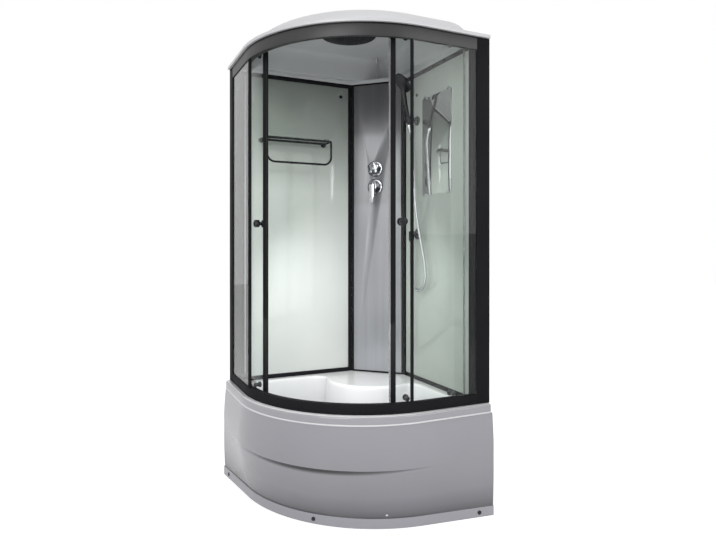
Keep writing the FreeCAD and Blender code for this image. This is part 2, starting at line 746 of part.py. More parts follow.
def door(side, mirrored):
    """One sliding door with its stile, seals, knob, roller mounts and wheels."""
    pane = plate(side + "_pane", swap(
        arc_strip(s.door_trail_angle, glass_edge, s.door_depth, s.glass_thickness), mirrored),
        door_low, door_high - door_low)
    pane.Placement = opening_turn(mirrored)
    drills = []
    for name, angle, level in ROLLERS + (("knob", s.knob_angle, knob_level),):
        radius = s.knob_bolt_radius if name == "knob" else s.bush_radius
        drill = doc.addObject("Part::Cylinder", "%s_%s_drill" % (side, name))
        tie(drill, Radius=radius + s.bush_fit, Height=s.overrun * 2)
        drills.append(on_door(drill, angle, level, door_inner + s.overrun, mirrored))
    node(cut(side + "_door_glass", pane, joined(side + "_drills", drills)))

    front = door_middle - s.stile_thickness / 2
    stile = plate(side + "_door_stile", swap(
        arc_strip(stile_back, stile_front, front, s.stile_thickness), mirrored),
        stile_low, stile_high - stile_low)
    slot_front = s.door_depth - s.stile_clearance
    slot = outline(new_sketch(stile, offset=stile_high), swap(
        arc_strip(stile_back - arc_length(s.stile_slot, door_middle),
                  glass_edge + arc_length(s.stile_clearance, door_middle), slot_front,
                  s.glass_thickness + s.stile_clearance * 2), mirrored))
    pocket(stile, slot, stile_high - stile_low)
    stile.Placement = opening_turn(mirrored)
    node(stile)

    seal = plate(side + "_meeting_seal", swap(
        arc_strip(stile_front, meeting_edge, door_middle - s.meeting_seal_thickness / 2,
                  s.meeting_seal_thickness), mirrored), stile_low, stile_high - stile_low)
    rear_front = s.door_trail_angle - arc_length(s.rear_seal_width / 2, door_middle)
    rear = plate(side + "_rear_seal", swap(
        arc_strip(rear_front, rear_front + arc_length(s.rear_seal_width, door_middle),
                  door_middle - s.rear_seal_thickness / 2, s.rear_seal_thickness), mirrored),
        stile_low, stile_high - stile_low)
    groove = outline(new_sketch(rear, offset=stile_high), swap(
        arc_strip(s.door_trail_angle, rear_front + s.meeting_angle / 2, s.door_depth,
                  s.glass_thickness), mirrored))
    pocket(rear, groove, stile_high - stile_low)
    for piece in (seal, rear):
        piece.Placement = opening_turn(mirrored)
    node(group(side + "_door_seals", [seal, rear]))

    low = -(s.knob_reach + s.glass_thickness)
    behind = -(s.glass_thickness + s.curve_relief)
    knob = turned(side + "_door_knob", [
        (0, low), (s.knob_radius - s.knob_edge, low), (s.knob_radius, low + s.knob_edge),
        (s.knob_radius, behind - s.knob_neck), (s.knob_neck_radius, behind - s.knob_neck),
        (s.knob_neck_radius, behind), (s.knob_bolt_radius, behind),
        (s.knob_bolt_radius, 0), (s.knob_neck_radius, 0), (s.knob_neck_radius, s.knob_neck),
        (s.knob_radius, s.knob_neck), (s.knob_radius, s.knob_reach - s.knob_edge),
        (s.knob_radius - s.knob_edge, s.knob_reach), (0, s.knob_reach)])
    node(on_door(knob, s.knob_angle, knob_level, s.door_depth, mirrored))

    wheel_foot = s.door_depth - s.wheel_depth - s.wheel_width
    mounts = []
    for name, angle, level in ROLLERS:
        label = "%s_%s_roller" % (side, name)
        boss_end = wheel_foot - s.wheel_side_gap
        head_foot = wheel_foot + s.wheel_width + s.wheel_side_gap
        mount = turned(label + "_mount", [
            (0, behind - s.cap_height), (s.cap_radius, behind - s.cap_height),
            (s.cap_radius, behind), (s.bush_radius, behind),
            (s.bush_radius, 0), (s.boss_radius, 0), (s.boss_radius, boss_end),
            (s.axle_radius, boss_end), (s.axle_radius, head_foot),
            (s.axle_head_radius, head_foot), (s.axle_head_radius, head_foot + s.axle_head),
            (0, head_foot + s.axle_head)])
        mounts.append(on_door(mount, angle, level, s.door_depth, mirrored))
        groove_radius = s.wheel_radius - s.axle_head / 2
        wheel = turned(label, [
            (s.wheel_bore, wheel_foot), (groove_radius, wheel_foot),
            (s.wheel_radius, wheel_foot + s.axle_head / 2),
            (s.wheel_radius, wheel_foot + s.wheel_width - s.axle_head / 2),
            (groove_radius, wheel_foot + s.wheel_width),
            (s.wheel_bore, wheel_foot + s.wheel_width)])
        node(on_door(wheel, angle, level, s.door_depth, mirrored))
    node(group(side + "_roller_mounts", mounts))


door("right", False)
door("left", True)


# Wall panels. A wall is drawn along the back, and mirrored for the side wall.

wall_front = half - s.wall_inset
wall_start = frame_front + s.post_depth
wall_end = half - s.column_edge
wall_height = rail_top - s.wall_top_gap - deck


def wall_frame(label, mirrored):
    """Four black bars round a wall pane, each with a shallow groove along its face."""
    bars = []
    across = wall_end - wall_start - s.bar_width * 2
    places = (("top", wall_start + s.bar_width, deck + wall_height - s.bar_width, across,
               s.bar_width),
              ("bottom", wall_start + s.bar_width, deck, across, s.bar_width),
              ("front", wall_start, deck, s.bar_width, wall_height),
              ("column", wall_end - s.bar_width, deck, s.bar_width, wall_height))
    for name, x, z, length, height in places:
        piece = "%s_%s" % (label, name)
        if mirrored:
            bars.append(box(piece, wall_front, x, z, s.bar_depth, length, height))
        else:
            bars.append(box(piece, x, wall_front, z, length, s.bar_depth, height))
    rebate_front = wall_front + s.bar_groove
    x = wall_start + s.bar_width - s.panel_lap
    width = wall_end - s.bar_width + s.panel_lap - x
    z = deck + s.bar_width - s.panel_lap
    height = wall_height - s.bar_width * 2 + s.panel_lap * 2
    slots = []
    for number in range(len(bars)):
        slot = "%s_rebate%d" % (label, number)
        if mirrored:
            slots.append(box(slot, rebate_front, x, z, s.glass_thickness, width, height))
        else:
            slots.append(box(slot, x, rebate_front, z, width, s.glass_thickness, height))
    cuts = [cut(bar.Name + "_bar", bar, slot) for bar, slot in zip(bars, slots)]
    return node(group(label, cuts)), (x, rebate_front, z, width, height)


_, pane = wall_frame("back_wall_frame", False)
node(box("back_wall_panel", pane[0], pane[1], pane[2], pane[3], s.glass_thickness, pane[4]))
_, pane = wall_frame("side_wall_frame", True)
side_pane = box("side_pane", pane[1], pane[0], pane[2], s.glass_thickness, pane[3], pane[4])
pane_front = wall_front + s.bar_groove
outlet_y = s.outlet_y - half
outlet_level = deck + s.outlet_height
pane_hole = rod("side_pane_hole", pane_front - s.overrun, outlet_y, outlet_level,
                s.wall_hole_radius, s.overrun * 3, SIDE)
node(cut("side_wall_panel", side_pane, pane_hole))


# Column panel across the room's corner. Its own X runs along it and its Y into the corner.

column_middle = (wall_end + wall_front) / 2
column_half = (wall_front - wall_end) / root(ZERO + 2)
column_turn = FreeCAD.Rotation(UP, -45)
mixer_level = deck + s.mixer_height
diverter_level = mixer_level + s.diverter_rise
valve_x = -s.valve_offset


def in_column(feature, x=ZERO, y=ZERO, z=ZERO, spin=None):
    """Places a piece drawn in the column's own axes."""
    whole = FreeCAD.Placement(
        FreeCAD.Vector(float(column_middle), float(column_middle), 0), column_turn)
    spot = FreeCAD.Vector(float(x), float(y), float(z))
    feature.Placement = whole * FreeCAD.Placement(spot, spin or FreeCAD.Rotation())
    return feature


def column_box(label, x, y, z, length, width, height):
    feature = doc.addObject("Part::Box", label)
    tie(feature, Length=length, Width=width, Height=height)
    return in_column(feature, x, y, z)


def column_rod(label, x, y, z, radius, length, direction=FORWARD):
    feature = doc.addObject("Part::Cylinder", label)
    tie(feature, Radius=radius, Height=length)
    return in_column(feature, x, y, z, FreeCAD.Rotation(UP, direction))


panel_half = column_half - s.trim_width
valve_holes = [
    column_rod("mixer_hole", valve_x, -s.overrun, mixer_level,
               s.mixer_boss_radius + s.boss_fit, s.overrun * 2),
    column_rod("diverter_hole", valve_x, -s.overrun, diverter_level,
               s.diverter_boss_radius + s.boss_fit, s.overrun * 2)]
column_sheet = column_box("column_sheet", -panel_half, ZERO, deck + s.trim_height,
                          panel_half * 2, s.column_thickness,
                          wall_height - s.trim_height * 2)
node(cut("column_panel", column_sheet, joined("valve_holes", valve_holes)))
trims = []
for name, x in (("left", -column_half), ("right", panel_half)):
    trims.append(column_box("column_trim_" + name, x, -s.trim_proud, deck, s.trim_width,
                            s.trim_depth, wall_height))
for name, z in (("bottom", deck), ("top", deck + wall_height - s.trim_height)):
    trims.append(column_box("column_trim_" + name, -panel_half, -s.trim_proud, z,
                            panel_half * 2, s.trim_depth / 2, s.trim_height))
node(group("column_trims", trims))


# Mixer and diverter. The body hides behind the column, and the bosses come through it.

body_back = s.body_gap + s.body_depth
link_low = mixer_level + s.body_half_height
link_high = diverter_level - s.body_half_height
body_pieces = [
    column_box("mixer_block", valve_x - s.body_half_width, s.body_gap,
               mixer_level - s.body_half_height, s.body_half_width * 2, s.body_depth,
               s.body_half_height * 2),
    column_box("diverter_block", valve_x - s.diverter_half_width, s.body_gap, link_high,
               s.diverter_half_width * 2, s.body_depth, s.body_half_height * 2),
    column_box("valve_link", valve_x - s.link_half_width, s.body_gap + s.link_margin,
               link_low, s.link_half_width * 2, s.body_depth - s.link_margin * 2,
               link_high - link_low),
    column_rod("mixer_boss", valve_x, -s.boss_reach, mixer_level, s.mixer_boss_radius,
               s.boss_reach + s.body_gap),
    column_rod("diverter_boss", valve_x, -s.boss_reach, diverter_level,
               s.diverter_boss_radius, s.boss_reach + s.body_gap)]
thread_y = s.body_gap + s.body_depth / 2
for name, way in (("hot", -1), ("cold", 1)):
    body_pieces.append(column_rod(
        name + "_thread", valve_x + s.inlet_spacing / 2 * way, body_back, mixer_level,
        s.thread_radius, s.thread_length))
riser_start = diverter_level + s.body_half_height
feed_x = valve_x + s.diverter_half_width
body_pieces.append(column_rod("riser_tail", valve_x, thread_y, riser_start, s.tail_radius,
                              s.tail_overlap * 2, UP))
body_pieces.append(column_rod("feed_tail", feed_x, thread_y, diverter_level, s.tail_radius,
                              s.tail_overlap * 2, SIDE))
pivot_holes = []
for name, level in (("mixer", mixer_level), ("diverter", diverter_level)):
    pivot_holes.append(column_rod(name + "_pivot_hole", valve_x, -s.boss_reach - s.overrun,
                                  level, s.pivot_radius + s.pivot_fit,
                                  s.pivot_length + s.hub_gap + s.overrun))
node(cut("mixer_body", joined("mixer_solid", body_pieces), joined("pivot_holes", pivot_holes)))

rings = []
for name, level, boss in (("mixer", mixer_level, s.mixer_boss_radius),
                          ("diverter", diverter_level, s.diverter_boss_radius)):
    chamfer = s.plate_thickness / 2
    ring = turned(name + "_plate", [
        (boss + s.plate_fit, 0), (s.plate_radius, 0), (s.plate_radius, chamfer),
        (s.plate_radius - chamfer, s.plate_thickness),
        (boss + s.plate_fit, s.plate_thickness)])
    rings.append(in_column(ring, valve_x, ZERO, level, FreeCAD.Rotation(UP, -FORWARD)))
node(group("valve_plates", rings))

hub_foot = s.hub_gap
hub_top = hub_foot + s.hub_length
slot_bottom = hub_top - s.lever_slot
hub_turn = turned("hub_turned", [
    (0, -s.pivot_length), (s.pivot_radius, -s.pivot_length), (s.pivot_radius, hub_foot),
    (s.hub_radius, hub_foot), (s.hub_radius, hub_top), (0, hub_top)])
hub_place = dict(x=valve_x, y=-s.boss_reach, z=mixer_level,
                 spin=FreeCAD.Rotation(UP, -FORWARD))
in_column(hub_turn, **hub_place)
slot_half = s.lever_width / 2 + s.lever_side_gap
front_y = -(s.boss_reach + hub_top)
hub_slot = column_box("hub_slot", valve_x - slot_half, front_y - s.overrun,
                      mixer_level - s.hub_radius - s.overrun, slot_half * 2,
                      s.lever_slot + s.overrun, s.hub_radius * 2 + s.overrun * 2)
pin_y = front_y + s.lever_slot / 2
hub_pin = column_rod("hub_pin", valve_x - slot_half - s.lever_pin_radius, pin_y, mixer_level,
                     s.lever_pin_radius, slot_half * 2 + s.lever_pin_radius * 2, SIDE)
node(joined("mixer_hub", [cut("hub_slotted", hub_turn, hub_slot), hub_pin]))

lever_front = front_y - s.lever_rise
lever_corner = s.lever_thickness / 2
lever_arm = column_box("lever_arm", valve_x - s.lever_width / 2, lever_front,
                       mixer_level - s.lever_length, s.lever_width, s.lever_thickness,
                       s.lever_length + s.lever_eye)
lever_neck = column_box("lever_neck", valve_x - s.lever_width / 2, lever_front,
                        mixer_level - s.lever_eye, s.lever_width, pin_y - lever_front,
                        s.lever_eye * 2)
lever_eye = column_rod("lever_eye", valve_x - s.lever_width / 2, pin_y, mixer_level,
                       s.lever_eye, s.lever_width, SIDE)
lever_hole = column_rod("lever_hole", valve_x - s.lever_width, pin_y, mixer_level,
                        s.lever_pin_radius + s.lever_pin_fit, s.lever_width * 2, SIDE)
node(cut("mixer_lever", joined("lever_solid", [lever_arm, lever_neck, lever_eye]), lever_hole))

lobes = [turned("knob_core", [
    (0, -s.pivot_length), (s.pivot_radius, -s.pivot_length), (s.pivot_radius, hub_foot),
    (s.knob_core_radius, hub_foot), (s.knob_core_radius, hub_foot + s.knob_length),
    (0, hub_foot + s.knob_length)])]
LOBE_COUNT = 5
in_column(lobes[0], valve_x, -s.boss_reach, diverter_level, FreeCAD.Rotation(UP, -FORWARD))
for number in range(LOBE_COUNT):
    way = math.tau * number / LOBE_COUNT
    x = valve_x + s.knob_core_radius * math.sin(way)
    z = diverter_level + s.knob_core_radius * math.cos(way)
    lobes.append(column_rod("knob_lobe%d" % number, x, -(s.boss_reach + hub_foot), z,
                            s.knob_lobe_radius, s.knob_length, -FORWARD))
node(joined("diverter_knob", lobes))


# Hoses that the cabin holds all the way: straight runs joined by tangent arcs

RUN_SHARE = 0.45


def bent_line(points, bends=None):
    """Straight runs joined by arcs, of the radii given or as large as the runs allow."""
    edges = []
    radii = []
    start = points[0]
    for number, (before, corner, after) in enumerate(zip(points, points[1:], points[2:])):
        to_before = (before - corner).normalize()
        to_after = (after - corner).normalize()
        turn = math.pi - to_before.getAngle(to_after)
        if bends:
            radius = float(bends[number])
        else:
            run = min((corner - before).Length, (after - corner).Length)
            radius = run * RUN_SHARE / math.tan(turn / 2)
        step = radius * math.tan(turn / 2)
        entry = corner + to_before * step
        leave = corner + to_after * step
        middle_way = (to_before + to_after).normalize()
        middle = corner + middle_way * (radius / math.cos(turn / 2) - radius)
        edges.append(Part.LineSegment(start, entry).toShape())
        edges.append(Part.Arc(entry, middle, leave).toShape())
        radii.append(radius)
        start = leave
    edges.append(Part.LineSegment(start, points[-1]).toShape())
    return Part.Wire(edges), radii


def pipe(label, path, radius, bore=None):
    """A tube along a path, hollow where a bore is given."""
    first = path.Edges[0]
    at = first.Vertexes[0].Point
    way = first.tangentAt(first.FirstParameter)
    shells = []
    for size in (radius, bore) if bore else (radius,):
        ring = Part.Wire([Part.Circle(at, way, float(size)).toShape()])
        shells.append(path.makePipeShell([ring], True, False))
    feature = doc.addObject("Part::Feature", label)
    feature.Shape = shells[0].cut(shells[1]) if bore else shells[0]
    return feature


def world(x, y, z):
    """A point of the column's own axes in the cabin's axes."""
    spot = FreeCAD.Vector(float(x), float(y), float(z))
    return column_turn.multVec(spot) + FreeCAD.Vector(
        float(column_middle), float(column_middle), 0)


roof_top = rail_top + s.dome_height
rain = FreeCAD.Vector(float(half - s.rain_x), float(half - s.rain_y), 0)
inlet_level = float(roof_top + s.inlet_rise)
riser_foot = world(valve_x, thread_y, riser_start + s.tail_overlap)
riser_corner = FreeCAD.Vector(riser_foot.x, riser_foot.y, inlet_level)
along_roof = (FreeCAD.Vector(riser_foot.x, riser_foot.y, 0) - rain).normalize()
inlet_end = rain + along_roof * float(s.inlet_tail) + FreeCAD.Vector(0, 0, inlet_level)
riser_line, _ = bent_line([riser_foot, riser_corner, inlet_end], [s.hose_bend])
node(pipe("riser_hose", riser_line, s.hose_radius, s.tail_radius))

tail_x = pane_front + s.tail_back
feed_start = world(feed_x + s.tail_overlap, thread_y, diverter_level)
feed_way = column_turn.multVec(SIDE)
feed_turn = feed_start + feed_way * ((float(tail_x) - feed_start.x) / feed_way.x)
feed_end = FreeCAD.Vector(float(tail_x), float(outlet_y), float(outlet_level + s.tail_rise))
feed_corner = FreeCAD.Vector(feed_end.x, feed_end.y, feed_turn.z)
feed_line, _ = bent_line([feed_start, feed_turn, feed_corner, feed_end],
                         [s.hose_bend, s.hose_bend])
node(pipe("handset_feed_hose", feed_line, s.hose_radius, s.tail_radius))


# Rain head on a ball joint under the roof

rain_x = half - s.rain_x
rain_y = half - s.rain_y
ceiling = roof_top - s.roof_wall
ball_level = ceiling - s.inlet_nut_height - s.rain_neck
rain_level = ball_level - s.ball_drop
plate_top = rain_level + s.rain_plate
boss_top = plate_top + s.rain_boss_height - s.ball_radius
head_turn = turned("rain_head_turned", [
    (0, rain_level), (s.rain_radius, rain_level), (s.rain_radius, plate_top),
    (s.rain_boss_radius, plate_top), (s.rain_boss_radius, boss_top),
    (s.mouth_radius, boss_top), (0, ball_level)])
socket = doc.addObject("Part::Sphere", "rain_socket")
tie(head_turn, Base__x=rain_x, Base__y=rain_y)
tie(socket, Radius=s.ball_radius + s.ball_fit, Base__x=rain_x, Base__y=rain_y,
    Base__z=ball_level)
node(cut("rain_head", head_turn, socket))

ball = doc.addObject("Part::Sphere", "inlet_ball")
tie(ball, Radius=s.ball_radius, Base__x=rain_x, Base__y=rain_y, Base__z=ball_level)
inlet_column = turned("inlet_column", [
    (0, ball_level), (s.neck_radius, ball_level), (s.neck_radius, ceiling - s.inlet_nut_height),
    (s.inlet_nut_radius, ceiling - s.inlet_nut_height), (s.inlet_nut_radius, ceiling),
    (s.inlet_radius, ceiling), (s.inlet_radius, roof_top + s.inlet_rise + s.inlet_block),
    (0, roof_top + s.inlet_rise + s.inlet_block)])
tie(inlet_column, Base__x=rain_x, Base__y=rain_y)
inlet_tail = doc.addObject("Part::Cylinder", "inlet_tail")
tie(inlet_tail, Radius=s.tail_radius, Height=s.inlet_tail + s.tail_overlap)
inlet_tail.Placement = FreeCAD.Placement(rain + FreeCAD.Vector(0, 0, inlet_level),
                                         FreeCAD.Rotation(UP, along_roof))
node(joined("rain_head_inlet", [inlet_column, ball, inlet_tail]))


# Roof. A moulded dome over a flat shelf that lies on the rails and the walls.

roof_front = frame_front - s.roof_proud
rim_top = rail_top + s.roof_rim


def dome(body, wall, kind):
    """The dome's loft from the rim to its flat top, moved in by a wall."""
    sketches = []
    levels = ((rim_top, s.dome_foot_back, roof_front + s.dome_foot,
               s.roof_radius - s.dome_foot),
              (rail_top + s.shoulder_height, s.shoulder_back, s.shoulder_front - half,
               s.shoulder_radius),
              (roof_top, s.dome_back, s.dome_front - half, s.dome_radius))
    for level, back, front, radius in levels:
        sketch = new_sketch(body, offset=level - wall)
        outline(sketch, quadrant(half - back - wall, front + wall, radius - wall))
        sketches.append(sketch)
    feature = body.newObject("PartDesign::%sLoft" % kind, body.Name + "_dome")
    feature.Profile = sketches[0]
    feature.Sections = sketches[1:]
    feature.Ruled = False


def foot_plan(wall):
    """The plan of the dome's upright foot, moved in by a wall."""
    inset = s.dome_foot + wall
    return quadrant(half - s.dome_foot_back - wall, roof_front + inset,
                    s.roof_radius - inset)


roof = new_body("roof_moulding")
pad(roof, outline(new_sketch(roof, offset=rail_top),
                  quadrant(half, roof_front, s.roof_radius)), s.roof_rim)
dome(roof, ZERO, "Additive")
channel = s.roof_rim - s.roof_wall
pocket(roof, outline(new_sketch(roof, offset=rim_top),
                     quadrant(half - s.roof_wall, roof_front + s.roof_wall,
                              s.roof_radius - s.roof_wall)), channel)
pad(roof, outline(new_sketch(roof, offset=rail_top), foot_plan(ZERO)), s.roof_rim)
pocket(roof, outline(new_sketch(roof, offset=rim_top), foot_plan(s.roof_wall)), channel)
dome(roof, s.roof_wall, "Subtractive")
rim_back = wall_front - s.roof_step
rim_front = frame_front + s.roof_shelf
rim_radius = s.frame_radius - s.roof_shelf
shoulder = wall_end
mouth_back = half - s.dome_foot_back - s.roof_wall
mouth_shoulder = shoulder + rim_back - mouth_back
opening = [(mouth_back, rim_front), (centre, rim_front, rim_radius, centre, centre),
           (rim_front, centre), (rim_front, mouth_back), (mouth_shoulder, mouth_back),
           (mouth_back, mouth_shoulder)]
pocket(roof, outline(new_sketch(roof, offset=rail_top + s.roof_wall), opening), s.roof_wall)
holes = new_sketch(roof, offset=roof_top)
circle(holes, rain_x, rain_y, s.inlet_radius + s.boss_fit / 2)
pocket(roof, holes, s.roof_wall)
rim_end = rim_back + s.ceiling_rim
rim_start = frame_front + s.rail_depth
lowered = plate("ceiling_rim_solid", [
    (rim_end, rim_start), (rim_back, rim_start), (rim_back, shoulder),
    (shoulder, rim_back), (rim_start, rim_back), (rim_start, rim_end),
    (shoulder + s.ceiling_rim / 2, rim_end), (rim_end, shoulder + s.ceiling_rim / 2)],
    rail_top - s.wall_top_gap, s.wall_top_gap)
riser_hole = pipe("riser_hole", riser_line, s.hose_radius + s.boss_fit / 2)
node(cut("roof_shell", joined("roof_solid", [roof, lowered]), riser_hole))


# Hose outlet and handset holder on the side wall

outlet_x = pane_front - s.outlet_reach
outlet_low = outlet_level - s.outlet_drop
elbow_parts = [
    rod("outlet_flange_disc", pane_front - s.outlet_flange, outlet_y, outlet_level,
        s.outlet_flange_radius, s.outlet_flange, SIDE),
    rod("outlet_arm", outlet_x, outlet_y, outlet_level, s.outlet_body_radius,
        s.outlet_reach, SIDE),
    rod("outlet_down", outlet_x, outlet_y, outlet_low, s.outlet_body_radius,
        s.outlet_drop + s.outlet_body_radius, UP),
    rod("outlet_thread", outlet_x, outlet_y, outlet_low - s.outlet_flange,
        s.outlet_thread_radius, s.outlet_flange, UP),
    rod("outlet_through", outlet_x, outlet_y, outlet_level,
        s.wall_hole_radius - s.slot_clearance, tail_x - outlet_x, SIDE),
    rod("outlet_tail", tail_x, outlet_y, outlet_level - s.wall_hole_radius / 2,
        s.wall_hole_radius, s.tail_rise + s.wall_hole_radius / 2, UP),
    rod("outlet_spigot", tail_x, outlet_y, outlet_level, s.tail_radius,
        s.tail_rise + s.tail_overlap, UP)]
node(joined("hose_outlet", elbow_parts))
nut_top = outlet_low - s.outlet_flange
nut_low = nut_top - s.hose_nut_length
nut = turned("outlet_nut", [
    (0, nut_low), (s.shower_hose_radius + s.axle_head, nut_low),
    (s.hose_nut_radius, nut_low + s.hose_nut_length / 2), (s.hose_nut_radius, nut_top),
    (0, nut_top)])
tie(nut, Base__x=outlet_x, Base__y=outlet_y)

holder_y = s.holder_y - half
holder_level = deck + s.holder_height
knuckle_x = pane_front - s.knuckle_reach
holder_parts = [
    rod("holder_disc", pane_front - s.holder_flange, holder_y, holder_level,
        s.holder_flange_radius, s.holder_flange, SIDE),
    rod("holder_arm", knuckle_x, holder_y, holder_level, s.knuckle_width / 2,
        s.knuckle_reach, SIDE),
    rod("holder_knuckle", knuckle_x, holder_y - s.knuckle_width / 2, holder_level,
        s.knuckle_radius, s.knuckle_width, FORWARD),
    rod("holder_pin", knuckle_x, holder_y - s.knuckle_width / 2 - s.ear_thickness,
        holder_level, s.hinge_pin_radius, s.knuckle_width + s.ear_thickness * 2, FORWARD)]
node(joined("handset_holder", holder_parts))

cradle_x = pane_front - s.cradle_reach
tilt = (FreeCAD.Rotation(SIDE, float(s.handset_lean))
        * FreeCAD.Rotation(FORWARD, -float(s.handset_tilt)))
cradle_place = FreeCAD.Placement(
    FreeCAD.Vector(float(cradle_x), float(holder_y), float(holder_level)), tilt)


def in_cradle(feature, z=ZERO, spin=None):
    """Places a piece along the leaning axis of the hand shower."""
    feature.Placement = cradle_place * FreeCAD.Placement(
        FreeCAD.Vector(0, 0, float(z)), spin or FreeCAD.Rotation())
    return feature


half_cradle = s.cradle_height / 2
cup = in_cradle(turned("cradle_cup", [
    (s.cone_radius - s.cone_taper + s.cradle_fit, -half_cradle),
    (s.cradle_radius, -half_cradle), (s.cradle_radius, half_cradle),
    (s.cone_radius + s.cradle_fit, half_cradle)]))
ears = []
ear_length = s.cradle_reach - s.knuckle_reach
for name, y in (("front", holder_y - s.knuckle_width / 2 - s.ear_gap - s.ear_thickness),
                ("back", holder_y + s.knuckle_width / 2 + s.ear_gap)):
    arm = box("ear_arm_" + name, knuckle_x - ear_length + s.cone_radius + s.cradle_fit, y,
              holder_level - s.knuckle_radius,
              ear_length - s.cone_radius - s.cradle_fit, s.ear_thickness,
              s.knuckle_radius * 2)
    eye = rod("ear_eye_" + name, knuckle_x, y, holder_level, s.knuckle_radius,
              s.ear_thickness, FORWARD)
    ears.extend([arm, eye])
ear_hole = rod("ear_hole", knuckle_x, holder_y - s.overrun, holder_level,
               s.hinge_pin_radius + s.hinge_pin_fit, s.overrun * 2, FORWARD)
cradle_bore = in_cradle(turned("cradle_bore", [
    (0, -half_cradle - s.overrun), (s.cone_radius - s.cone_taper + s.cradle_fit,
                                    -half_cradle - s.overrun),
    (s.cone_radius - s.cone_taper + s.cradle_fit, -half_cradle),
    (s.cone_radius + s.cradle_fit, half_cradle), (s.cone_radius + s.cradle_fit,
                                                  half_cradle + s.overrun),
    (0, half_cradle + s.overrun)]))
cradle_solid = joined("cradle_solid", [cup] + ears)
node(cut("handset_cradle", cradle_solid, joined("cradle_cuts", [ear_hole, cradle_bore])))

foot = half_cradle + s.handle_foot / 2
handle = in_cradle(turned("handset_handle", [
    (0, -foot), (s.handle_radius - s.cone_taper, -foot),
    (s.handle_radius - s.cone_taper, -half_cradle),
    (s.cone_radius - s.cone_taper, -half_cradle), (s.cone_radius, half_cradle),
    (s.handle_radius, foot), (s.handle_top_radius, s.handle_length),
    (s.spout_radius, s.head_centre), (0, s.head_centre)]))
face = turned("handset_face", [
    (0, 0), (s.head_radius, 0), (s.head_radius, s.head_depth / 3),
    (s.head_radius / 2, s.head_depth), (0, s.head_depth)])
in_cradle(face, s.head_centre, FreeCAD.Rotation(FORWARD, float(s.head_tilt)))
node(joined("hand_shower", [handle, face]))
handset_nut = turned("handset_nut", [
    (0, -foot - s.hose_nut_length), (s.shower_hose_radius + s.axle_head,
                                     -foot - s.hose_nut_length),
    (s.hose_nut_radius, -foot - s.hose_nut_length / 2), (s.hose_nut_radius, -foot),
    (0, -foot)])
node(nut, "hose_nut")
node(in_cradle(handset_nut), "handset_nut")


# Shower hose. It hangs free between its two nuts, in a loop beside the outlet. Each point
# of the route is (in from the wall pane, along the wall, above the deck).

HOSE_ROUTE = (
    (36, 506, 588), (36, 508, 532), (36, 502, 482), (36, 485, 450), (37, 456, 433),
    (37, 422, 434), (38, 393, 451), (38, 377, 481), (38, 374, 517), (38, 381, 558),
    (37, 397, 608), (36, 420, 669), (36, 446, 748), (36, 468, 833), (36, 483, 920),
    (35, 494, 1008), (32, 504.5, 1088),
)
route = [FreeCAD.Vector(float(outlet_x), float(outlet_y), float(nut_low))]
for reach, along, rise in HOSE_ROUTE:
    route.append(FreeCAD.Vector(float(pane_front) - reach, along - float(half),
                                float(deck) + rise))
for drop in (s.hose_nut_length + s.hose_lead, s.hose_nut_length):
    route.append(cradle_place.multVec(FreeCAD.Vector(0, 0, -float(foot + drop))))
hose_line, hose_radii = bent_line(route)
shower_hose = node(pipe("shower_hose", hose_line, s.shower_hose_radius))


# Shelf, towel bar, mirror and cover caps

shelf_x = s.shelf_left - half
shelf_level = deck + s.shelf_height
shelf_front = wall_front - s.shelf_reach
back_pane = wall_front + s.bar_groove
glass_low = shelf_level + s.rod_radius
node(box("shelf_glass", shelf_x + s.shelf_margin, shelf_front, glass_low,
         s.shelf_length - s.shelf_margin * 2, wall_front - shelf_front - s.shelf_margin,
         s.shelf_glass))


def rod_corners():
    """The corners of the bent rod that carries the shelf and drops to a towel bar."""
    left, right = shelf_x, shelf_x + s.shelf_length
    front, back = shelf_front - s.rod_radius, back_pane - s.flange_thickness
    bar = shelf_level - s.towel_drop
    corners = ((left, back, shelf_level), (left, front, shelf_level), (left, front, bar),
               (right, front, bar), (right, front, shelf_level), (right, back, shelf_level))
    return [FreeCAD.Vector(float(x), float(y), float(z)) for x, y, z in corners]


tight = s.rod_radius * 2
rod_line, _ = bent_line(rod_corners(), [tight, s.towel_bend, s.towel_bend, tight])
bent = pipe("shelf_bent_rod", rod_line, s.rod_radius)
rod_parts = [bent]
for name, x in (("left", shelf_x), ("right", shelf_x + s.shelf_length)):
    rod_parts.append(rod("shelf_flange_" + name, x, back_pane - s.flange_thickness,
                         shelf_level, s.flange_radius, s.flange_thickness, FORWARD))
rod_parts.append(rod("shelf_front_rod", shelf_x, shelf_front - s.rod_radius, shelf_level,
                     s.rod_radius, s.shelf_length, SIDE))
rod_parts.append(rod("shelf_back_rod", shelf_x, wall_front - s.flange_radius * 2, shelf_level,
                     s.rod_radius, s.shelf_length, SIDE))
node(joined("shelf_frame", rod_parts))

mirror_y = s.mirror_front - half
mirror_low = deck + s.mirror_bottom
mirror_x = pane_front - s.mirror_thickness
node(box("mirror", mirror_x, mirror_y, mirror_low, s.mirror_thickness, s.mirror_width,
         s.mirror_tall))
clips = []
mirror_high = mirror_low + s.mirror_tall
for name, y in (("front", mirror_y + s.clip_width),
                ("back", mirror_y + s.mirror_width - s.clip_width * 2)):
    for level_name, z, notch in (("low", mirror_low - s.clip_height + s.clip_lap, mirror_low),
                                 ("high", mirror_high - s.clip_lap,
                                  mirror_high - s.clip_height)):
        label = "clip_%s_%s" % (name, level_name)
        outer = box(label + "_block", mirror_x - s.clip_lip, y, z,
                    s.mirror_thickness + s.clip_lip, s.clip_width, s.clip_height)
        inner = box(label + "_notch", mirror_x, y - s.overrun, notch, s.mirror_thickness
                    + s.overrun, s.clip_width + s.overrun * 2, s.clip_height)
        clips.append(cut(label, outer, inner))
node(group("mirror_clips", clips))

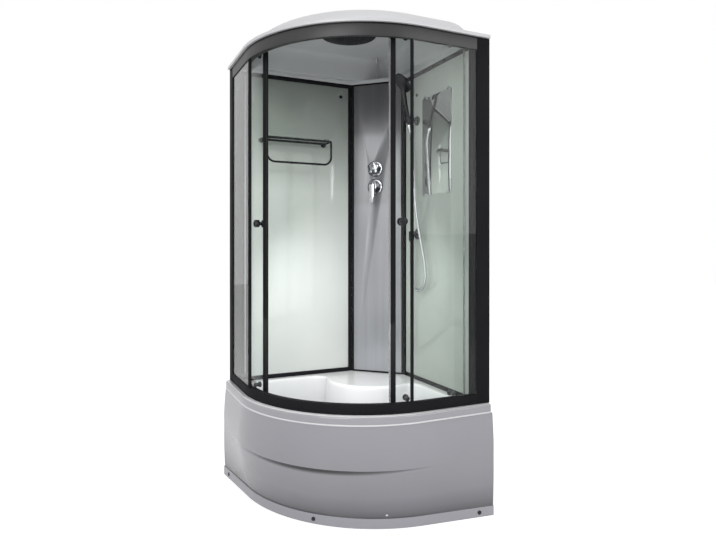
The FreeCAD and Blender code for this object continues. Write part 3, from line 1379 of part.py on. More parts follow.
plinth_rise = sine(s.plinth_slant) / cosine(s.plinth_slant)
plinth_middle = ((crease_front + s.plinth_radius / cosine(s.plinth_slant) + half * plinth_rise)
                 / (plinth_rise + 1))
cap_line = crease_front + s.plinth_cap_inset * plinth_rise
caps = [rod("back_cap", s.back_cap_x - half, back_pane - s.cap_disc_height,
            deck + s.back_cap_height, s.cap_disc_radius, s.cap_disc_height, FORWARD),
        rod("side_cap", pane_front - s.cap_disc_height, s.side_cap_y - half,
            deck + s.side_cap_height, s.cap_disc_radius, s.cap_disc_height, SIDE)]
for name, x, y, angle in (
        ("right", half - s.plinth_cap_inset, cap_line, s.plinth_slant),
        ("middle", plinth_middle - s.plinth_radius * sine(s.plinth_cap_angle),
         plinth_middle - s.plinth_radius * cosine(s.plinth_cap_angle), s.plinth_cap_angle),
        ("left", cap_line, half - s.plinth_cap_inset, s.plinth_slant * -1 + 90)):
    outwards = FreeCAD.Vector(-float(sine(angle)), -float(cosine(angle)), 0)
    caps.append(rod("plinth_cap_" + name, x, y, s.plinth_cap_height, s.plinth_cap_radius,
                    s.plinth_cap_reach, outwards))
node(group("cover_caps", caps))


# Checks, then one STEP file for each piece

doc.recompute()
for feature in doc.Objects:
    if "Invalid" in feature.State or "Error" in feature.State:
        raise RuntimeError("failed feature: " + feature.Label)
os.makedirs("parts", exist_ok=True)
for feature in NODES:
    shape = feature.Shape
    if shape.isNull() or not shape.isValid() or not shape.Solids:
        raise RuntimeError("bad shape: " + feature.Label)
for feature in NODES:
    feature.Shape.exportStep("parts/%s.step" % feature.Label)
print("pieces:", len(NODES))
print("hose length:", round(hose_line.Length), "least bend:", round(min(hose_radii)))
tube_volume = math.pi * float(s.shower_hose_radius) ** 2 * hose_line.Length
print("hose volume share:", round(shower_hose.Shape.Volume / tube_volume, 4))
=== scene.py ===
import math

import bmesh
import bpy
from mathutils import Matrix, Vector


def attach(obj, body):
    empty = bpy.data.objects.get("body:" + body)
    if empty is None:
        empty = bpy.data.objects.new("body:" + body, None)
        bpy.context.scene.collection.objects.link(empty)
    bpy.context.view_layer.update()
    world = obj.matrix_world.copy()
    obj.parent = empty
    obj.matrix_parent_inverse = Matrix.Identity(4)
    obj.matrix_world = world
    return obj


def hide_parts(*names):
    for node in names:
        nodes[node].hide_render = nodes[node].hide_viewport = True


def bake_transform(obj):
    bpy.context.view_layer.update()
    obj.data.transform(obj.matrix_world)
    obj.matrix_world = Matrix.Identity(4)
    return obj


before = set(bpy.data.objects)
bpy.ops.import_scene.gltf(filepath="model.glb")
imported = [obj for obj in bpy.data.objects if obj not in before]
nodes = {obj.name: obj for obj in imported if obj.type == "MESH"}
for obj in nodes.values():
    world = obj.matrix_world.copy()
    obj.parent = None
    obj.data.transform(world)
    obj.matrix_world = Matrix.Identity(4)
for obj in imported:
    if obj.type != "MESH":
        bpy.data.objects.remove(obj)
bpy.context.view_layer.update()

# Camera, floor and lamps. The camera stands a little over a metre high and looks level at
# the curved front. Its small shift puts the cabin where the photograph has it.

camera_data = bpy.data.cameras.new("camera")
camera_data.sensor_width = 36
camera_data.lens = 29.376
camera_data.shift_x = -0.0106
camera_data.shift_y = -0.0305
camera = bpy.data.objects.new("camera", camera_data)
camera.location = (-1.0238, -2.36905, 1.08085)
camera.rotation_euler = (math.radians(90), 0, math.radians(-25.14))
bpy.context.scene.collection.objects.link(camera)
bpy.context.scene.camera = camera
bpy.context.scene.view_settings.view_transform = "Standard"


def for_view(tree, shown, mirrored, hidden):
    """A value for the camera, one for a gloss or a glass, and one for light that bounces."""
    rays = tree.nodes.new("ShaderNodeLightPath")
    either = tree.nodes.new("ShaderNodeMath")
    either.operation = "MAXIMUM"
    tree.links.new(rays.outputs["Is Glossy Ray"], either.inputs[0])
    tree.links.new(rays.outputs["Is Transmission Ray"], either.inputs[1])
    value = None
    for looks, seen in ((rays.outputs["Is Camera Ray"], shown), (either.outputs[0], mirrored)):
        step = tree.nodes.new("ShaderNodeMix")
        tree.links.new(looks, step.inputs[0])
        step.inputs[2].default_value = hidden
        step.inputs[3].default_value = seen
        if value is not None:
            tree.links.new(value, step.inputs[2])
        value = step.outputs[0]
    return value


world = bpy.data.worlds.new("studio")
bpy.context.scene.world = world
world.use_nodes = True
air = world.node_tree
air.nodes["Background"].inputs["Color"].default_value = (1, 1, 1, 1)
air.links.new(for_view(air, 1.0, 1.0, 0.42), air.nodes["Background"].inputs["Strength"])

bpy.ops.mesh.primitive_plane_add(size=30, location=(0, 0, -0.001))
floor = bpy.context.object
floor.name = "studio_floor"
floor_paint = bpy.data.materials.new("floor_paint")
floor_paint.use_nodes = True
floor_tree = floor_paint.node_tree
floor_shader = floor_tree.nodes["Principled BSDF"].inputs
floor_shader["Base Color"].default_value = (0.93, 0.93, 0.93, 1)
floor_shader["Roughness"].default_value = 0.9
floor_shader["Emission Color"].default_value = (1, 1, 1, 1)
floor_tree.links.new(for_view(floor_tree, 0.60, 0.30, 0.0), floor_shader["Emission Strength"])
floor.data.materials.append(floor_paint)

LAMPS = (
    # name, place, target, size, power
    ("front_left_lamp", (-3.4, -3.2, 2.5), (0, 0, 1.1), 2.4, 88),
    ("front_right_lamp", (1.9, -3.8, 2.2), (0, 0, 1.1), 2.0, 36),
    ("top_lamp", (0.0, -0.4, 4.6), (0, 0, 1.1), 2.6, 14),
    ("back_lamp", (2.8, 2.9, 2.6), (0, 0, 1.1), 2.0, 30),
    ("inner_lamp", (-0.12, -0.12, 0.86), (0.22, 0.22, 0.42), 0.7, 2.5),
)
for name, place, target, size, power in LAMPS:
    lamp = bpy.data.lights.new(name, "AREA")
    lamp.shape = "SQUARE"
    lamp.size = size
    lamp.energy = power
    stand = bpy.data.objects.new(name, lamp)
    stand.location = place
    aim = Vector(target) - Vector(place)
    stand.rotation_euler = aim.to_track_quat("-Z", "Y").to_euler()
    stand.visible_camera = stand.visible_transmission = False
    stand.visible_glossy = name != "inner_lamp"
    bpy.context.scene.collection.objects.link(stand)


# Shower hose. A chromed steel hose wound from one interlocked strip, so it shows fine rings.
# It leaves the nut under the wall outlet, hangs in one loop and climbs to the hand shower.

HOSE_LINE = (
    (0.355, 0.056, 1.090), (0.355, 0.056, 1.038), (0.355, 0.058, 0.982),
    (0.355, 0.052, 0.932), (0.355, 0.035, 0.900), (0.354, 0.006, 0.883),
    (0.354, -0.028, 0.884), (0.353, -0.057, 0.901), (0.353, -0.073, 0.931),
    (0.353, -0.076, 0.967), (0.353, -0.069, 1.008), (0.354, -0.053, 1.058),
    (0.355, -0.030, 1.119), (0.355, -0.004, 1.198), (0.355, 0.018, 1.283),
    (0.355, 0.033, 1.370), (0.356, 0.044, 1.458), (0.359, 0.0545, 1.538),
    (0.3612, 0.0654, 1.6026), (0.3506, 0.0627, 1.6463),
)
HOSE_RADIUS = 0.007
RING_DEPTH = 0.0008
RING_STEP = 0.00075


def surface(name, colour, rough, metal=0.0, mottle=0.04, mottle_size=9.0, grain=0.0,
            grain_size=260.0, stretch=(1, 1, 1), coat=0.0, uneven=0.05, depth=0.0005,
            shine=0.5):
    """A finish with a slightly uneven colour and gloss, and a fine grain, on Object axes."""
    material = bpy.data.materials.new(name)
    material.use_nodes = True
    tree = material.node_tree
    shader = tree.nodes["Principled BSDF"]
    place = tree.nodes.new("ShaderNodeTexCoord")
    scaled = tree.nodes.new("ShaderNodeMapping")
    scaled.inputs["Scale"].default_value = stretch
    tree.links.new(place.outputs["Object"], scaled.inputs["Vector"])
    cloud = tree.nodes.new("ShaderNodeTexNoise")
    cloud.inputs["Scale"].default_value = mottle_size
    cloud.inputs["Detail"].default_value = 4
    tree.links.new(scaled.outputs["Vector"], cloud.inputs["Vector"])
    shades = tree.nodes.new("ShaderNodeValToRGB")
    shades.color_ramp.elements[0].position = 0.3
    shades.color_ramp.elements[1].position = 0.7
    shades.color_ramp.elements[0].color = [c * (1 - mottle) for c in colour] + [1]
    shades.color_ramp.elements[1].color = [min(1, c * (1 + mottle)) for c in colour] + [1]
    tree.links.new(cloud.outputs["Fac"], shades.inputs["Fac"])
    tree.links.new(shades.outputs["Color"], shader.inputs["Base Color"])
    gloss = tree.nodes.new("ShaderNodeMapRange")
    gloss.inputs["From Min"].default_value = 0.3
    gloss.inputs["From Max"].default_value = 0.7
    gloss.inputs["To Min"].default_value = max(0.01, rough * (1 - uneven * 4))
    gloss.inputs["To Max"].default_value = rough * (1 + uneven * 4)
    tree.links.new(cloud.outputs["Fac"], gloss.inputs["Value"])
    tree.links.new(gloss.outputs["Result"], shader.inputs["Roughness"])
    shader.inputs["Metallic"].default_value = metal
    shader.inputs["Specular IOR Level"].default_value = shine
    shader.inputs["Coat Weight"].default_value = coat
    shader.inputs["Coat Roughness"].default_value = 0.06
    if grain:
        grit = tree.nodes.new("ShaderNodeTexNoise")
        grit.inputs["Scale"].default_value = grain_size
        grit.inputs["Detail"].default_value = 2
        tree.links.new(scaled.outputs["Vector"], grit.inputs["Vector"])
        bump = tree.nodes.new("ShaderNodeBump")
        bump.inputs["Strength"].default_value = grain
        bump.inputs["Distance"].default_value = depth
        tree.links.new(grit.outputs["Fac"], bump.inputs["Height"])
        tree.links.new(bump.outputs["Normal"], shader.inputs["Normal"])
    return material


def multiplied(material, tone):
    """Multiplies a finish's colour by a tone that other nodes give."""
    tree = material.node_tree
    colour = tree.nodes["Principled BSDF"].inputs["Base Color"]
    both = tree.nodes.new("ShaderNodeMix")
    both.data_type, both.blend_type = "RGBA", "MULTIPLY"
    both.inputs[0].default_value = 1
    tree.links.new(colour.links[0].from_socket, both.inputs[6])
    tree.links.new(tone, both.inputs[7])
    tree.links.new(both.outputs[2], colour)
    return material


def toned(material, tones):
    """Multiplies a finish by a tone by height above the floor, which paints light and shade.
    """
    tree = material.node_tree
    place = tree.nodes.new("ShaderNodeTexCoord")
    parts = tree.nodes.new("ShaderNodeSeparateXYZ")
    tree.links.new(place.outputs["Object"], parts.inputs[0])
    rise = tree.nodes.new("ShaderNodeMapRange")
    rise.inputs["From Min"].default_value = tones[0][0]
    rise.inputs["From Max"].default_value = tones[-1][0]
    tree.links.new(parts.outputs["Z"], rise.inputs["Value"])
    shades = tree.nodes.new("ShaderNodeValToRGB")
    ramp = shades.color_ramp.elements
    ramp[0].color, ramp[1].color = (*tones[0][1], 1), (*tones[-1][1], 1)
    for level, tone in tones[1:-1]:
        stop = ramp.new((level - tones[0][0]) / (tones[-1][0] - tones[0][0]))
        stop.color = (*tone, 1)
    tree.links.new(rise.outputs["Result"], shades.inputs["Fac"])
    return multiplied(material, shades.outputs["Color"])


def route_points(name, controls):
    """Points along the smooth line that a cord's control points give."""
    line = bpy.data.curves.new(name, "CURVE")
    line.dimensions = "3D"
    spline = line.splines.new("NURBS")
    spline.points.add(len(controls) - 1)
    for point, place in zip(spline.points, controls):
        point.co = (*place, 1)
    spline.order_u = 3
    spline.use_endpoint_u = True
    spline.resolution_u = 60
    holder = bpy.data.objects.new(name, line)
    bpy.context.scene.collection.objects.link(holder)
    bpy.context.view_layer.update()
    depsgraph = bpy.context.evaluated_depsgraph_get()
    traced = bpy.data.meshes.new_from_object(holder.evaluated_get(depsgraph))
    points = [vertex.co.copy() for vertex in traced.vertices]
    bpy.data.objects.remove(holder)
    return points


def spaced(points, step):
    """The same line with its points at even steps."""
    found = [points[0]]
    left = step
    for start, end in zip(points, points[1:]):
        run = (end - start).length
        while 0 < left <= run:
            start = start.lerp(end, left / run)
            run = (end - start).length
            found.append(start.copy())
            left = step
        left -= run
    found.append(points[-1])
    return found


def placed(name, made):
    """An object of the scene from a shape drawn in mesh code."""
    mesh = bpy.data.meshes.new(name)
    made.to_mesh(mesh)
    made.free()
    piece = bpy.data.objects.new(name, mesh)
    bpy.context.scene.collection.objects.link(piece)
    return piece


def swept(name, points, radii, sides):
    """A round tube along points, with a radius at each and both ends closed."""
    made = bmesh.new()
    rings = []
    across = None
    for number, point in enumerate(points):
        before, after = points[max(number - 1, 0)], points[min(number + 1, len(points) - 1)]
        way = (after - before).normalized()
        if across is None:
            across = way.orthogonal().normalized()
        across = (across - way * across.dot(way)).normalized()
        up = way.cross(across)
        turns = [math.tau * k / sides for k in range(sides)]
        rings.append([made.verts.new(
            point + (across * math.cos(t) + up * math.sin(t)) * radii[number])
            for t in turns])
    for first, second in zip(rings, rings[1:]):
        for k in range(sides):
            made.faces.new((first[k], first[(k + 1) % sides], second[(k + 1) % sides],
                            second[k]))
    made.faces.new(rings[0][::-1])
    made.faces.new(rings[-1])
    piece = placed(name, made)
    for face in piece.data.polygons:
        face.use_smooth = len(face.vertices) == 4
    return piece


chrome = surface("chrome", (0.70, 0.71, 0.73), 0.10, metal=1.0, mottle=0.03)
hose_points = spaced(route_points("hose_line", HOSE_LINE), RING_STEP)
hose_radii = [HOSE_RADIUS - (RING_DEPTH if number % 4 == 0 else 0.0)
              for number in range(len(hose_points))]
hose = swept("hose_tube", hose_points, hose_radii, 16)
hose.data.materials.append(chrome)
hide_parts("shower_hose")
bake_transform(hose)


# Tray. One sheet of white acrylic drawn over a mould: a rim that turns down outside, a flat
# deck, and a deep basin in front of a seat in the corner. Glass fibre stiffens it below.

DECK = 0.450
LIP_LOW = 0.4142
LIP_BEAD = 0.0055
LIP_PROUD = 0.003
LIP_FRONT = -0.443
LIP_RADIUS = 0.570
LIP_SHEET = 0.0035
CORNER = 0.450
BASIN_MIDDLE = 0.138
BASIN_RADIUS = 0.475
BASIN_SIDE = 0.350
BASIN_FRONT = -0.337
BASIN_FLOOR = 0.131
BASIN_CORNER = 0.052
BASIN_LEAN = 0.020
BASIN_SHEET = 0.004
SEAT_MIDDLE = 0.226
SEAT_RADIUS = 0.224
DRAIN = (-0.025, -0.025)
DRAIN_HOLE = 0.046


def only(*pieces):
    """Selects just these objects and makes the last one active."""
    bpy.ops.object.select_all(action="DESELECT")
    for piece in pieces:
        piece.select_set(True)
    bpy.context.view_layer.objects.active = pieces[-1]


def arc(middle, radius, first, last, count):
    """Points on a level arc, from one angle in degrees to another."""
    turns = [math.radians(first + (last - first) * k / count) for k in range(count + 1)]
    return [Vector((middle[0] + radius * math.cos(t), middle[1] + radius * math.sin(t), 0))
            for t in turns]


def between(first, last, count):
    """Points strictly between two others, evenly spaced."""
    return [first.lerp(last, k / (count + 1)) for k in range(1, count + 1)]


def quadrant_ring(back, front, radius, corner, level):
    """The cabin's plan at a level, round its arc and its three back corners."""
    middle = front + radius
    inner, outer = back - corner, front + corner
    line = arc((inner, outer), corner, -90, 0, 6)
    line += between(line[-1], Vector((back, inner, 0)), 12)
    line += arc((inner, inner), corner, 0, 90, 6)
    line += between(line[-1], Vector((outer, back, 0)), 12)
    line += arc((outer, inner), corner, 90, 180, 6)
    line += between(line[-1], Vector((front, middle, 0)), 6)
    line += arc((middle, middle), radius, 180, 270, 72)
    line += between(line[-1], line[0], 6)
    return [Vector((point.x, point.y, level)) for point in line]


def basin_ring(inset, level):
    """The basin's plan drawn in by an inset, with its corners rounded."""
    side, front = BASIN_SIDE - inset, BASIN_FRONT + inset
    curve, seat = BASIN_RADIUS - inset, SEAT_RADIUS + inset
    soft = max(BASIN_CORNER - inset, 0.014)
    across = SEAT_MIDDLE - (side - soft)
    seat_y = SEAT_MIDDLE - math.sqrt((seat + soft) ** 2 - across ** 2)
    turn = math.degrees(math.atan2(SEAT_MIDDLE - seat_y, across))
    line = arc((side - soft, front + soft), soft, -90, 0, 8)
    line += between(line[-1], Vector((side, seat_y, 0)), 14)
    line += arc((side - soft, seat_y), soft, 0, turn, 8)
    line += arc((SEAT_MIDDLE, SEAT_MIDDLE), seat, 180 + turn, 270 - turn, 60)[1:-1]
    line += arc((seat_y, side - soft), soft, 90 - turn, 90, 8)
    line += between(line[-1], Vector((front + soft, side, 0)), 14)
    line += arc((front + soft, side - soft), soft, 90, 180, 8)
    line += between(line[-1], Vector((front, BASIN_MIDDLE, 0)), 6)
    line += arc((BASIN_MIDDLE, BASIN_MIDDLE), curve, 180, 270, 64)
    line += between(line[-1], line[0], 6)
    return [Vector((point.x, point.y, level)) for point in line]


def eased(keys, eases, steps=5):
    """Rows of points through key rows, each inner key rounded over its ease length."""
    rows = [keys[0]]
    for before, key, after, ease in zip(keys, keys[1:], keys[2:], eases):
        if not ease:
            rows.append(key)
            continue
        for step in range(steps + 1):
            t = step / steps
            row = []
            for b, k, a in zip(before, key, after):
                start = k + (b - k) * min(0.5, ease / max((b - k).length, 1e-6))
                end = k + (a - k) * min(0.5, ease / max((a - k).length, 1e-6))
                row.append(start * (1 - t) ** 2 + k * 2 * t * (1 - t) + end * t * t)
            rows.append(row)
    rows.append(keys[-1])
    return rows


def draped(name, rows, closed):
    """A skin laid over rows of points. A closed one is joined where it meets itself."""
    laid = [row + [row[0]] if closed else row for row in rows]
    bpy.ops.object.select_all(action="DESELECT")
    bpy.ops.mesh.primitive_grid_add(x_subdivisions=len(laid[0]) - 1,
                                    y_subdivisions=len(laid) - 1)
    piece = bpy.context.object
    piece.name = piece.data.name = name
    for vertex, point in zip(piece.data.vertices, (p for row in laid for p in row)):
        vertex.co = point
    merge(piece)
    return piece


def merge(piece, apart=0.00002):
    """Joins vertices that lie on each other."""
    only(piece)
    bpy.ops.object.mode_set(mode="EDIT")
    bpy.ops.mesh.select_all(action="SELECT")
    bpy.ops.mesh.remove_doubles(threshold=apart)
    bpy.ops.mesh.select_all(action="DESELECT")
    bpy.ops.object.mode_set(mode="OBJECT")


def faced_out(piece):
    """Turns the faces of a piece outwards."""
    only(piece)
    bpy.ops.object.mode_set(mode="EDIT")
    bpy.ops.mesh.select_all(action="SELECT")
    bpy.ops.mesh.normals_make_consistent(inside=False)
    bpy.ops.object.mode_set(mode="OBJECT")


def filled(piece, level, ring=None):
    """Fills between the open edges at a level, and a further ring where one is given."""
    only(piece)
    bpy.ops.object.mode_set(mode="EDIT")
    bpy.ops.mesh.select_all(action="DESELECT")
    if ring:
        bpy.ops.mesh.primitive_circle_add(vertices=len(ring), radius=1)
        drawn = bmesh.from_edit_mesh(piece.data)
        for vertex, point in zip([v for v in drawn.verts if v.select], ring):
            vertex.co = point
    drawn = bmesh.from_edit_mesh(piece.data)
    for edge in drawn.edges:
        flat = all(abs(v.co.z - level) < 0.00005 for v in edge.verts)
        if flat and len(edge.link_faces) < 2:
            edge.select_set(True)
    bmesh.update_edit_mesh(piece.data)
    bpy.ops.mesh.fill(use_beauty=True)
    bpy.ops.mesh.select_all(action="DESELECT")
    bpy.ops.object.mode_set(mode="OBJECT")


def modified(piece, kind, **settings):
    """Adds a modifier to a piece and applies it."""
    only(piece)
    change = piece.modifiers.new(kind.lower(), kind)
    for key, value in settings.items():
        setattr(change, key, value)
    bpy.ops.object.modifier_apply(modifier=change.name)


def finished(piece, material, replaced=(), body="cabin", smooth=35):
    """Gives a piece its finish, the body that it rides and what it stands for."""
    piece.data.materials.clear()
    piece.data.materials.append(material)
    only(piece)
    if smooth:
        bpy.ops.object.shade_smooth_by_angle(angle=math.radians(smooth))
    if replaced:
        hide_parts(*replaced)
    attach(piece, body)
    return piece


# The tray's white acrylic is painted with shade by height: greyer down in the basin, palest at
# the deck.
white_acrylic = toned(surface("white_acrylic", (1, 1, 1), 0.22, mottle=0.015, grain=0.04,
                              grain_size=24, coat=0.25, depth=0.002),
                      ((0.127, (0.76, 0.76, 0.775)), (0.36, (0.80, 0.80, 0.815)),
                       (0.425, (0.87, 0.87, 0.88)), (DECK, (0.95, 0.95, 0.955))))
# The lip is white acrylic painted grey as shade on its upright band, with a pale painted
# highlight line along the bead at its lower edge, and pale at the rim's top.
lip_acrylic = toned(surface("lip_acrylic", (1, 1, 1), 0.16, mottle=0.04, mottle_size=3.0,
                            grain=0.05, grain_size=16, coat=0.4, depth=0.002),
                    ((LIP_LOW, (0.60, 0.60, 0.62)),
                     (LIP_LOW + LIP_BEAD - 0.0003, (0.80, 0.80, 0.82)),
                     (LIP_LOW + LIP_BEAD + 0.0005, (0.37, 0.365, 0.395)),
                     (DECK - 0.0022, (0.37, 0.365, 0.395)),
                     (DECK - 0.0008, (0.80, 0.80, 0.81)), (DECK, (0.80, 0.80, 0.81))))

lip_rows = eased([
    quadrant_ring(CORNER - 0.006, LIP_FRONT + 0.004, LIP_RADIUS - 0.004, 0.012, LIP_LOW),
    quadrant_ring(CORNER, LIP_FRONT - LIP_PROUD, LIP_RADIUS + LIP_PROUD, 0.018, LIP_LOW),
    quadrant_ring(CORNER, LIP_FRONT - LIP_PROUD, LIP_RADIUS + LIP_PROUD, 0.018,
                  LIP_LOW + 0.0025),
    quadrant_ring(CORNER, LIP_FRONT, LIP_RADIUS, 0.018, LIP_LOW + LIP_BEAD),
    quadrant_ring(CORNER, LIP_FRONT, LIP_RADIUS, 0.018, DECK),
    quadrant_ring(CORNER - 0.030, LIP_FRONT + 0.030, LIP_RADIUS - 0.030, 0.012, DECK),
], [0.0012, 0.0010, 0.0010, 0.010])
lip = draped("tray_lip", lip_rows, True)
modified(lip, "SOLIDIFY", thickness=LIP_SHEET, offset=-1, use_even_offset=False)
finished(lip, lip_acrylic, ["shower_tray"])

basin_rows = eased([
    basin_ring(-0.020, DECK), basin_ring(0.0, DECK),
    basin_ring(BASIN_LEAN, BASIN_FLOOR + 0.002), basin_ring(0.085, BASIN_FLOOR),
], [0.016, 0.045], 8)
basin = draped("tray_basin", basin_rows, True)
filled(basin, DECK, lip_rows[-1])
drain_ring = arc(DRAIN, DRAIN_HOLE, 0, 360, 48)[:-1]
filled(basin, BASIN_FLOOR, [Vector((p.x, p.y, BASIN_FLOOR)) for p in drain_ring])
faced_out(basin)
if next(f for f in basin.data.polygons if abs(f.center.z - DECK) < 1e-4).normal.z < 0:
    basin.data.flip_normals()
modified(basin, "SOLIDIFY", thickness=BASIN_SHEET, offset=-1)
finished(basin, white_acrylic, ["shower_tray"])

STUD_STEP = 0.034
STUD_ROW = STUD_STEP * 0.87
STUD_RADIUS = 0.006
STUD_FIELD = 0.355
STUD_FRONT = -0.225
CLEAR_OF_DRAIN = 0.075
CLEAR_OF_SEAT = 0.340
stud_places = [(column * STUD_STEP + (row % 2) * STUD_STEP / 2, row * STUD_ROW)
               for row in range(-9, 10) for column in range(-9, 10)]
studs = bmesh.new()
for x, y in stud_places:
    from_drain = math.hypot(x - DRAIN[0], y - DRAIN[1])
    from_seat = math.hypot(x - SEAT_MIDDLE, y - SEAT_MIDDLE)
    in_curve = math.hypot(x - BASIN_MIDDLE, y - BASIN_MIDDLE) < STUD_FIELD
    if (from_drain > CLEAR_OF_DRAIN and from_seat > CLEAR_OF_SEAT and min(x, y) > STUD_FRONT
            and (in_curve or max(x, y) > BASIN_MIDDLE)):
        bmesh.ops.create_uvsphere(studs, u_segments=10, v_segments=6, radius=STUD_RADIUS,
                                  matrix=Matrix.Translation((x, y, BASIN_FLOOR))
                                  @ Matrix.Diagonal((1, 1, 0.25, 1)))
finished(placed("tray_studs", studs), white_acrylic)


# Front apron. One curved acrylic panel that hooks under the rim. It swells out a little,
# steps back at a long crease, and draws in towards a low kickboard that stands on the floor.

APRON_KEYS = (
    # level, front, radius, slant in degrees, ease
    (0.4140, -0.4410, 0.568, 0, 0), (0.3100, -0.4495, 0.600, 0, 0.052),
    (0.2450, -0.4490, 0.609, 0, 0.0012), (0.2436, -0.4490, 0.6195, 0.8, 0.0010),
    (0.2360, -0.4488, 0.6205, 1.0, 0.0030), (0.2290, -0.4490, 0.6180, 0.9, 0.0020),
    (0.1350, -0.4490, 0.634, 4, 0.050), (0.0410, -0.4450, 0.646, 8, 0.0012),
    (0.0398, -0.4490, 0.650, 8, 0.0010), (0.0010, -0.4490, 0.650, 8, 0),
)
CREASE = 0.2450
CREASE_REACH = 0.45
# Painted shade under the crease: its height where the curve is deepest, and its strength.
CREASE_SHADE_HEIGHT = 0.025
CREASE_SHADE = 0.92
APRON_SCREWS = ((0.0055, -0.3689, 0.0541), (-0.1395, -0.2920, 0.0697))
SCREW_RADIUS = 0.0055
APRON_SHEET = 0.0038
APRON_MIDDLE = 0.234


def creased(material):
    """Paints shade in a long lens under the crease, darkest in the middle of the curve."""
    tree = material.node_tree
    place = tree.nodes.new("ShaderNodeTexCoord")
    parts = tree.nodes.new("ShaderNodeSeparateXYZ")
    tree.links.new(place.outputs["Object"], parts.inputs[0])

    def worked(kind, first, second, clamp=False):
        step = tree.nodes.new("ShaderNodeMath")
        step.operation, step.use_clamp = kind, clamp
        for socket, value in zip(step.inputs, (first, second)):
            if isinstance(value, (int, float)):
                socket.default_value = value
            else:
                tree.links.new(value, socket)
        return step.outputs[0]

    along = worked("MULTIPLY", worked("SUBTRACT", parts.outputs["X"], parts.outputs["Y"]),
                   0.7071 / CREASE_REACH)
    lens = worked("SUBTRACT", 1.0, worked("MULTIPLY", along, along), True)
    below = worked("SUBTRACT", CREASE, parts.outputs["Z"])
    height = worked("ADD", worked("MULTIPLY", lens, CREASE_SHADE_HEIGHT), 0.0004)
    share = worked("DIVIDE", below, height)
    under = worked("GREATER_THAN", below, 0.0)
    dark = worked("MULTIPLY", worked("SUBTRACT", 1.0, share, True), under)
    dark = worked("MULTIPLY", dark, 2.0, True)
    shade = worked("MULTIPLY", worked("MULTIPLY", dark, lens), CREASE_SHADE)
    return multiplied(material, worked("SUBTRACT", 1.0, shade))


def apron_row(level, front, radius, slant):
    """One level of the apron, from its right end round the arc to its left end."""
    lean = math.radians(slant)
    rise = math.tan(lean)
    middle = (front + radius / math.cos(lean) + CORNER * rise) / (rise + 1)
    first = Vector((CORNER, front, level))
    swing = [Vector((p.x, p.y, level)) for p in
             arc((middle, middle), radius, 270 - slant, 180 + slant, 84)]
    last = Vector((front, CORNER, level))
    return ([first] + between(first, swing[0], 14) + swing + between(swing[-1], last, 14)
            + [last])


apron_lines = [apron_row(*key[:4]) for key in APRON_KEYS]
above, below = apron_lines[2], apron_lines[6]
for line in apron_lines[3:6]:
    for number, point in enumerate(line):
        along = (above[number].x - above[number].y) / math.sqrt(2) / CREASE_REACH
        depth = min(1, 2.5 * max(0, 1 - along * along))
        share = (above[number].z - point.z) / (above[number].z - below[number].z)
        line[number] = above[number].lerp(below[number], share).lerp(point, depth)
apron_rows = eased(apron_lines, [key[4] for key in APRON_KEYS[1:-1]], 6)
apron = draped("apron_panel", apron_rows, False)
modified(apron, "SOLIDIFY", thickness=APRON_SHEET, offset=-1)
for vertex in apron.data.vertices:
    vertex.co.x, vertex.co.y = min(vertex.co.x, CORNER), min(vertex.co.y, CORNER)
# The apron is white acrylic painted grey as shade, darker towards its foot and darkest just
# above the kickboard; creased() adds painted shade under the crease.
apron_acrylic = creased(toned(
    surface("apron_acrylic", (1, 1, 1), 0.17, mottle=0.05, mottle_size=3.0, grain=0.02,
            grain_size=9, coat=0.5, uneven=0.01, depth=0.001),
    ((0.0, (0.37, 0.37, 0.405)), (0.0396, (0.37, 0.37, 0.405)),
     (0.0404, (0.115, 0.115, 0.125)), (0.075, (0.19, 0.19, 0.21)),
     (0.130, (0.27, 0.27, 0.295)), (0.20, (0.305, 0.305, 0.33)),
     (0.30, (0.325, 0.323, 0.355)), (0.414, (0.345, 0.343, 0.375)))))
finished(apron, apron_acrylic, ["front_panel"], smooth=50)

screws = bmesh.new()
for x, y, z in APRON_SCREWS:
    outward = Vector((x - APRON_MIDDLE, y - APRON_MIDDLE, 0)).normalized()
    turn = Vector((0, 0, 1)).rotation_difference(outward).to_matrix().to_4x4()
    bmesh.ops.create_uvsphere(screws, u_segments=20, v_segments=10, radius=SCREW_RADIUS,
                              matrix=Matrix.Translation((x, y, z)) @ turn
                              @ Matrix.Diagonal((1, 1, 0.45, 1)))
finished(placed("apron_screws", screws), chrome)


# Steel frame, feet and waste. Welded square tubes carry the tray on six screw feet. A
# plastic trap is screwed up under the basin, and its chromed cover lies over the drain.

galvanised = surface("galvanised", (0.46, 0.47, 0.48), 0.38, metal=0.9, mottle=0.16,
                     mottle_size=42, grain=0.2, grain_size=180)
waste_plastic = surface("waste_plastic", (0.62, 0.62, 0.61), 0.42, mottle=0.05, grain=0.12)


def softened(node, name, material, body="cabin", width=0.0006, steps=2, angle=28,
             smooth=30, dissolve=0.4):
    """A merged copy of a CAD node with its edges rounded, standing for that node."""
    piece = bpy.data.objects.new(name, nodes[node].data.copy())
    bpy.context.scene.collection.objects.link(piece)
    piece.data.name = name
    piece.data.transform(nodes[node].matrix_world)
    only(piece)
    if piece.data.has_custom_normals:
        bpy.ops.mesh.customdata_custom_splitnormals_clear()
    bpy.ops.object.mode_set(mode="EDIT")
    bpy.ops.mesh.select_all(action="SELECT")
    bpy.ops.mesh.remove_doubles(threshold=0.00002)
    bpy.ops.mesh.dissolve_limited(angle_limit=math.radians(dissolve))
    bpy.ops.mesh.select_all(action="DESELECT")
    bpy.ops.object.mode_set(mode="OBJECT")
    if width:
        modified(piece, "BEVEL", width=width, segments=steps, limit_method="ANGLE",
                 angle_limit=math.radians(angle), harden_normals=False,
                 use_clamp_overlap=True, miter_outer="MITER_ARC")
    return finished(piece, material, [node], body, smooth)


